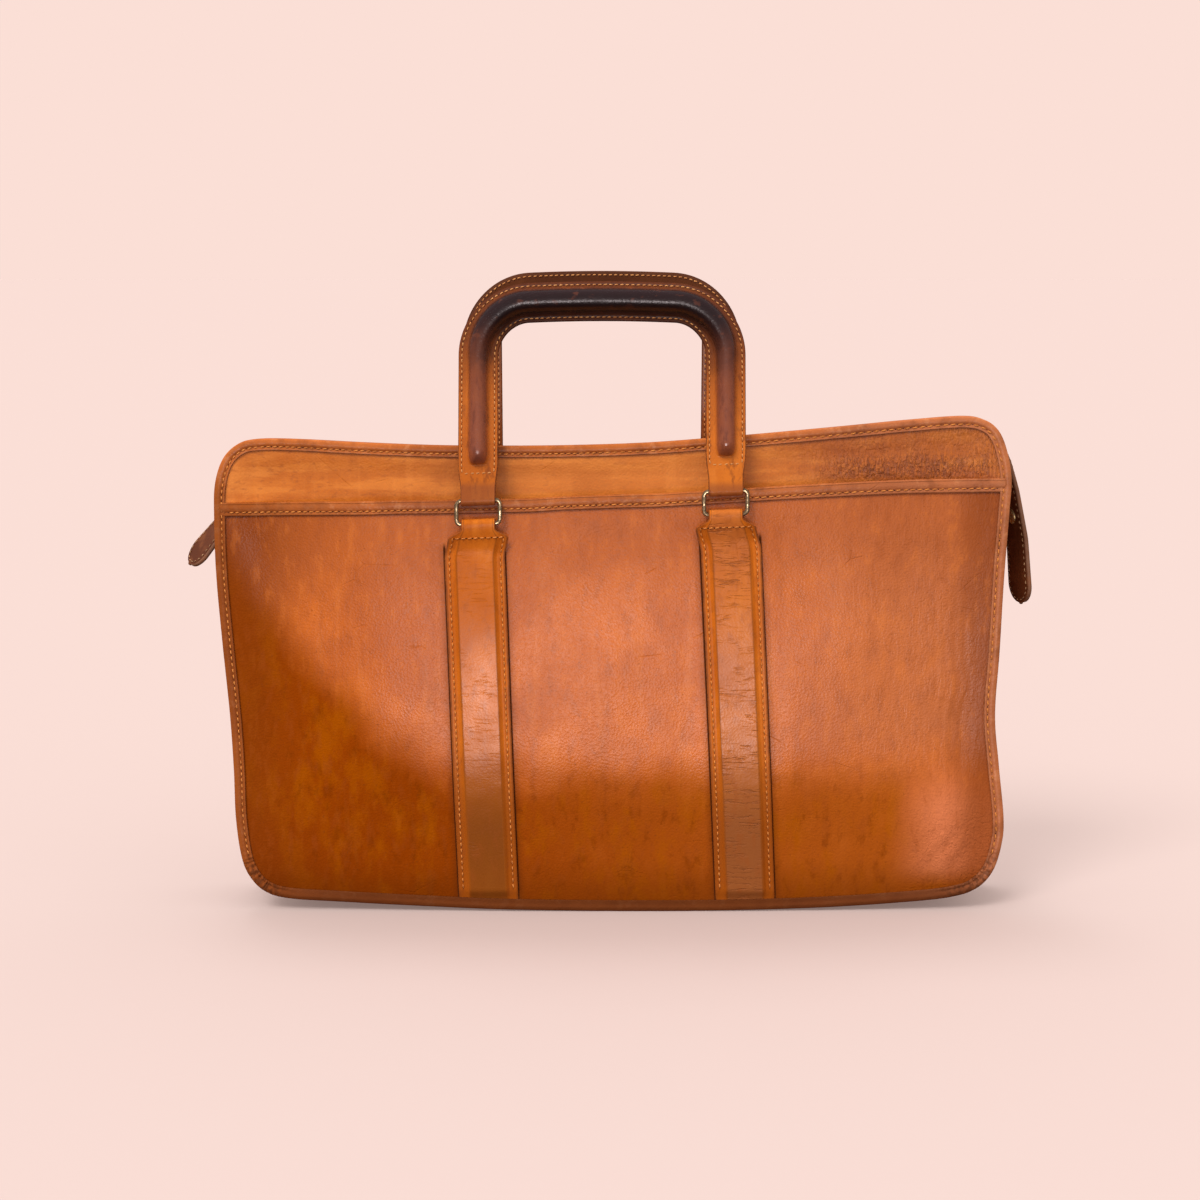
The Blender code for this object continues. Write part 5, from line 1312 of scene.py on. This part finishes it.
tape_finish = woven_tape()
bright_brass = aged_brass("zip_brass", (0.74, 0.58, 0.30), (0.30, 0.19, 0.08), 0.24)
runs = np.linspace(-FLAP_HALF_LENGTH, FLAP_HALF_LENGTH, 180)[:, None]
for prefix, side in (("front", FRONT), ("back", BACK)):
    ys = np.linspace(7.6, 14.9, 16)[None]
    swell = 0.30 * bump_at(ys, 8.9, 1.3) - 0.25 * bump_at(ys, 10.2, 0.5) + 0.14 * waver(runs / 9.0, ys / 5.0, 71)
    middle = zip_point(runs, side * ys, swell)
    up = np.broadcast_to(zip_point(0.0, 0.0, 1.0) - zip_point(0.0, 0.0, 0.0), middle.shape)
    points, rim = rounded_strip(middle, up, 1.4)
    piece(prefix + "_welt", points, strap_finish, prefix + "_zip_flap", marks={"rim": rim},
          replaces=(prefix + "_zip_welt",))
    line = zip_point(np.linspace(-170.0, 170.0, 200), side * 10.2, np.full(200, 0.46))
    sew(prefix + "_welt_stitches", line, np.broadcast_to(up[0, 0], (200, 3)), 3.4, prefix + "_zip_flap",
        tan_thread, needle_hole_shade)
    ys = np.linspace(3.6, 9.2, 8)[None]
    middle = zip_point(runs, side * ys, -1.5 + 0.05 * waver(runs / 6.0, ys / 3.0, 72))
    points, rim = rounded_strip(middle, np.broadcast_to(up[0, 0], middle.shape), 0.6)
    piece(prefix + "_tape", points, tape_finish, prefix + "_zip_flap",
          replaces=(prefix + "_zip_tape",))

    count = 130
    start_a = -FLAP_HALF_LENGTH + 1.6 + (0.0 if side < 0 else 1.3)
    places = start_a + np.arange(count) * 2.62
    across = np.array([0.62, 1.15, 2.0, 3.1])
    half_long = np.array([0.42, 0.80, 0.62, 0.62])
    half_high = np.array([0.75, 1.10, 1.30, 1.30])
    corner_a = np.array([-1.0, -0.55, 0.55, 1.0, 1.0, 0.55, -0.55, -1.0])
    corner_c = np.array([0.55, 1.0, 1.0, 0.55, -0.55, -1.0, -1.0, -0.55])
    a = places[:, None, None] + (half_long[:, None] * corner_a)[None]
    c = (half_high[:, None] * corner_c)[None] + 0 * a
    teeth = zip_point(a, side * across[None, :, None], c).reshape(-1, 3)
    k = np.arange(8)
    walls = np.concatenate([np.stack([8 * r + k, 8 * r + (k + 1) % 8, 8 * r + 8 + (k + 1) % 8, 8 * r + 8 + k], 1)
                            for r in range(3)])
    shift = 32 * np.arange(count)[:, None, None]
    faces = (walls[None] + shift).reshape(-1, 4).tolist()
    faces += (k[None, ::-1] + shift[:, 0]).tolist() + (k[None] + 24 + shift[:, 0]).tolist()
    add_teeth = bpy.data.meshes.new(prefix + "_teeth")
    add_teeth.from_pydata(teeth * MM, [], faces)
    work = bmesh.new()
    work.from_mesh(add_teeth)
    if work.calc_volume(signed=True) < 0.0:
        bmesh.ops.reverse_faces(work, faces=work.faces[:])
    work.to_mesh(add_teeth)
    work.free()
    add_teeth.shade_smooth()
    add_teeth.set_sharp_from_angle(angle=math.radians(40.0))
    add_teeth.materials.append(bright_brass)
    row = add_to_scene(prefix + "_teeth", add_teeth)
    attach(row, prefix + "_zip_flap")
    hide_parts(prefix + "_zip_chain")

    xs = np.linspace(-196.0, 196.0, 200)[:, None]
    t = np.linspace(0.0, 1.0, 14)[None]
    edge_z = np.interp(xs, seam_line(side, 9.0)[nearest(seam_line(side, 9.0), (202.0, 262.0)):
                                             nearest(seam_line(side, 9.0), (-203.0, 250.0))][::-1, 0],
                       seam_line(side, 9.0)[nearest(seam_line(side, 9.0), (202.0, 262.0)):
                                            nearest(seam_line(side, 9.0), (-203.0, 250.0))][::-1, 1])
    inner_y = 16.4 + 0 * xs
    outer_y = half_depth(xs, edge_z) - 0.9
    zip_z = ZIP_MID_Z + xs * math.tan(ZIP_ANGLE) - 0.4
    y = outer_y + (inner_y - outer_y) * ease(t)
    z = edge_z + (zip_z - edge_z) * ease(t * 1.1) - 1.2 * np.sin(math.pi * t)
    z = z + 0.25 * waver(xs / 11.0, t * 2.0, 73)
    middle = np.stack([xs + 0 * t, side * y, z], -1)
    across_dir = np.gradient(middle, axis=1)
    along_dir = np.gradient(middle, axis=0)
    normal = unit(np.cross(along_dir, across_dir)) * side
    normal = normal * np.sign(normal[..., 2:])
    points, rim = rounded_strip(middle, normal, 1.1)
    piece(prefix + "_facing", points, gusset_finish, "bag", marks={"rim": rim})

# ---------------------------------------------------------------------------------------------
# Zip ends, slider and pull. Slotted leather ends where the slider parks; a cast brass slider with
# a bridge; a bent wire pull that hangs in the bridge.


def smoothed_copy(node, name, finish, body, width):
    """Copy of a solid with its triangles joined and its edges rounded."""
    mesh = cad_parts[node].data.copy()
    mesh.name = name
    work = bmesh.new()
    work.from_mesh(mesh)
    bmesh.ops.remove_doubles(work, verts=work.verts[:], dist=1e-6)
    bmesh.ops.dissolve_limit(work, angle_limit=math.radians(2.0), verts=work.verts[:], edges=work.edges[:])
    work.to_mesh(mesh)
    work.free()
    mesh.materials.clear()
    mesh.materials.append(finish)
    obj = add_to_scene(name, mesh)
    bevel = obj.modifiers.new("rounded", "BEVEL")
    bevel.width = width * MM
    bevel.segments = 3
    bevel.angle_limit = math.radians(35.0)
    mesh.shade_smooth()
    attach(obj, body)
    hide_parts(node)


for word, sign in (("left", -1.0), ("right", 1.0)):
    smoothed_copy("zip_end_" + word, word + "_zip_end", strap_finish, "bag", 0.45)
    a = np.concatenate([np.full(20, 175.2), np.linspace(175.2, 199.3, 40), np.full(60, 199.3),
                        np.linspace(199.3, 175.2, 40), np.full(20, 175.2)])
    y = np.concatenate([np.linspace(3.2, 12.4, 20), np.full(40, 12.4), np.linspace(12.4, -12.4, 60),
                        np.full(40, -12.4), np.linspace(-12.4, -3.2, 20)])
    line = zip_point(sign * a, y, np.full(180, 0.8))
    up = np.broadcast_to(zip_point(0.0, 0.0, 1.0) - zip_point(0.0, 0.0, 0.0), line.shape)
    sew(word + "_zip_end_stitches", line, up, 3.4, "bag", tan_thread, needle_hole_shade)
smoothed_copy("zip_slider", "slider_body", bright_brass, "slider", 0.4)
smoothed_copy("zip_slider_bridge", "slider_bridge", bright_brass, "slider", 0.35)

reach, wire = 21.0, 0.62
turn = np.linspace(0, 2 * math.pi, 96, endpoint=False)[:, None]
loop_a = reach * 0.5 * (1.0 + np.sign(np.cos(turn)) * np.abs(np.cos(turn)) ** 0.45)
loop_y = np.sign(np.sin(turn)) * np.abs(np.sin(turn)) ** 0.45 * (2.6 + 1.0 * loop_a / reach)
path = np.concatenate([loop_a, loop_y], 1)
heading = unit(np.roll(path, -1, 0) - np.roll(path, 1, 0))
round_wire = np.linspace(0, 2 * math.pi, 12, endpoint=False)[None]
a = path[:, :1] + wire * np.cos(round_wire) * -heading[:, 1:]
y = path[:, 1:] + wire * np.cos(round_wire) * heading[:, :1]
piece("pull_wire", zip_point(181.5 + a, y, 4.0 + wire * np.sin(round_wire) + 0 * a), bright_brass, "pull",
      wrap=True, replaces=("zip_pull",))

# ---------------------------------------------------------------------------------------------
# Zip-end tabs. Tongues of two leathers sewn back to back with burnished edges, bent by years of
# hanging over the bag's ends. The right one carries a press stud on its inner face.
LEFT_TAB = [(-204.2, 247.6), (-205.8, 246.0), (-207.4, 238.0), (-208.8, 228.0), (-214.6, 215.0), (-228.3, 198.5)]
RIGHT_TAB = [(204.4, 262.4), (211.0, 259.6), (217.0, 250.0), (221.2, 232.0), (225.8, 205.0), (228.0, 179.0)]
TAB_HALF = 11.6
TAB_THICKNESS = 2.4


def tab_surface(path, twists, shrink):
    """Middle surface of a tab: a smoothed line with a twisting width and a round tip. Rows run along it."""
    pts = np.array(path)
    length = np.concatenate([[0.0], np.cumsum(np.linalg.norm(np.diff(pts, axis=0), axis=1))])
    tip = TAB_HALF - shrink
    d = np.concatenate([np.linspace(0.0, length[-1], 60), length[-1] + tip * np.sin(np.linspace(0.03, math.pi / 2, 26))])
    dense = np.interp(np.linspace(0, length[-1], 400), length, pts[:, 0])
    dense_z = np.interp(np.linspace(0, length[-1], 400), length, pts[:, 1])
    kernel = np.hanning(61) / np.hanning(61).sum()

    def soft(values):
        ahead = 2 * values[-1] - values[-31:-1][::-1]
        behind = 2 * values[0] - values[1:31][::-1]
        return np.convolve(np.concatenate([behind, values, ahead]), kernel, "valid")
    dense, dense_z = soft(dense), soft(dense_z)
    inside = np.minimum(d, length[-1])
    beyond = np.maximum(0.0, d - length[-1])
    scale = np.linspace(0, length[-1], 400)
    run = unit(np.stack([np.gradient(dense), np.gradient(dense_z)], -1))
    run = unit(np.stack([np.interp(inside, scale, run[:, 0]), np.interp(inside, scale, run[:, 1])], -1))
    mid = np.stack([np.interp(inside, scale, dense), np.interp(inside, scale, dense_z)], -1) + run * beyond[:, None]
    half = tip * np.sqrt(np.maximum(1e-5, 1.0 - (beyond / tip) ** 2)) * (0.82 + 0.18 * ease(d / 20.0))
    twist = np.radians(np.interp(inside, length, twists))[:, None]
    normal = np.stack([-run[:, 1], 0 * twist[:, 0], run[:, 0]], -1)
    normal = normal * (-1.0 if normal[-1, 0] * pts[-1, 0] < 0.0 else 1.0)
    level = np.array([[0.0, 1.0, 0.0]])
    across = level * np.cos(twist) + normal * np.sin(twist)
    face = normal * np.cos(twist) - level * np.sin(twist)
    centre = np.stack([mid[:, 0], 0 * mid[:, 0], mid[:, 1]], -1)
    share = np.concatenate([[-1.0, -0.93], np.linspace(-0.85, 0.85, 15), [0.93, 1.0]])
    width = half[:, None] * share[None]
    return centre[:, None] + across[:, None] * width[..., None], np.repeat(face[:, None], len(share), 1), share


def tab_edges(at, x, z, colour, rough, level, film):
    """Tabs: dark faces rubbed brown, with dry paler cut edges."""
    rub = rise(blotch(at, 8.0, detail=4.0), 0.48, 0.66)
    colour = dye(rub * 0.35, colour, (0.26, 0.085, 0.028))
    return colour, rough, level, film


tab_finish = leather("tab_leather", (0.150, 0.040, 0.013), (0.085, 0.022, 0.008), (0.24, 0.080, 0.03),
                     0.42, 0.04, rim_tone=(0.23, 0.115, 0.070), patina=tab_edges)
for word, path, twists in (("left", LEFT_TAB, (0.0, 0.0, 4.0, 12.0, 22.0, 28.0)),
                           ("right", RIGHT_TAB, (0.0, 0.0, -5.0, -12.0, -18.0, -20.0))):
    middle, normal, share = tab_surface(path, twists, 0.5 * TAB_THICKNESS)
    points, rim = rounded_strip(middle, normal, TAB_THICKNESS, 13)
    body = word + "_tab"
    piece(word + "_tongue", points, tab_finish, body, marks={"rim": rim}, replaces=("zip_tab_" + word,))
    inner_line, _, _ = tab_surface(path, twists, 0.5 * TAB_THICKNESS + 1.5)
    for face, flip in (("outside", 1.0), ("inside", -1.0)):
        shift = normal * flip * 0.5 * TAB_THICKNESS
        edge = np.concatenate([(inner_line + shift)[6:, 0], (inner_line + shift)[6:, -1][::-1]])
        up = np.concatenate([(normal * flip)[6:, 0], (normal * flip)[6:, -1][::-1]])
        sew(f"{word}_tab_stitches_{face}", edge, up, 3.4, body, soiled_thread, needle_hole_shade, 0.62, 0.30)

stud_row = 34
middle, normal, share = tab_surface(RIGHT_TAB, (0.0, 0.0, -5.0, -12.0, -18.0, -20.0), 1.2)
centre, out = middle[stud_row, 9], -normal[stud_row, 9]
side_way = unit(np.cross(out, np.array([0.0, 1.0, 0.0])))
other_way = np.cross(out, side_way)
radius = np.array([0.0, 2.2, 3.9, 4.3, 4.3, 0.0])
height = np.array([2.6, 2.5, 2.1, 1.6, 1.15, 1.15])
turn = np.linspace(0, 2 * math.pi, 28, endpoint=False)
cap = (centre + out * height[:, None, None] + side_way * (radius[:, None] * np.cos(turn))[..., None]
       + other_way * (radius[:, None] * np.sin(turn))[..., None])
piece("tab_stud", cap, bright_brass, "right_tab", sharp=50.0)

# The box of everything shown, leaving out the backdrop, in metres.
low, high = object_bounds()
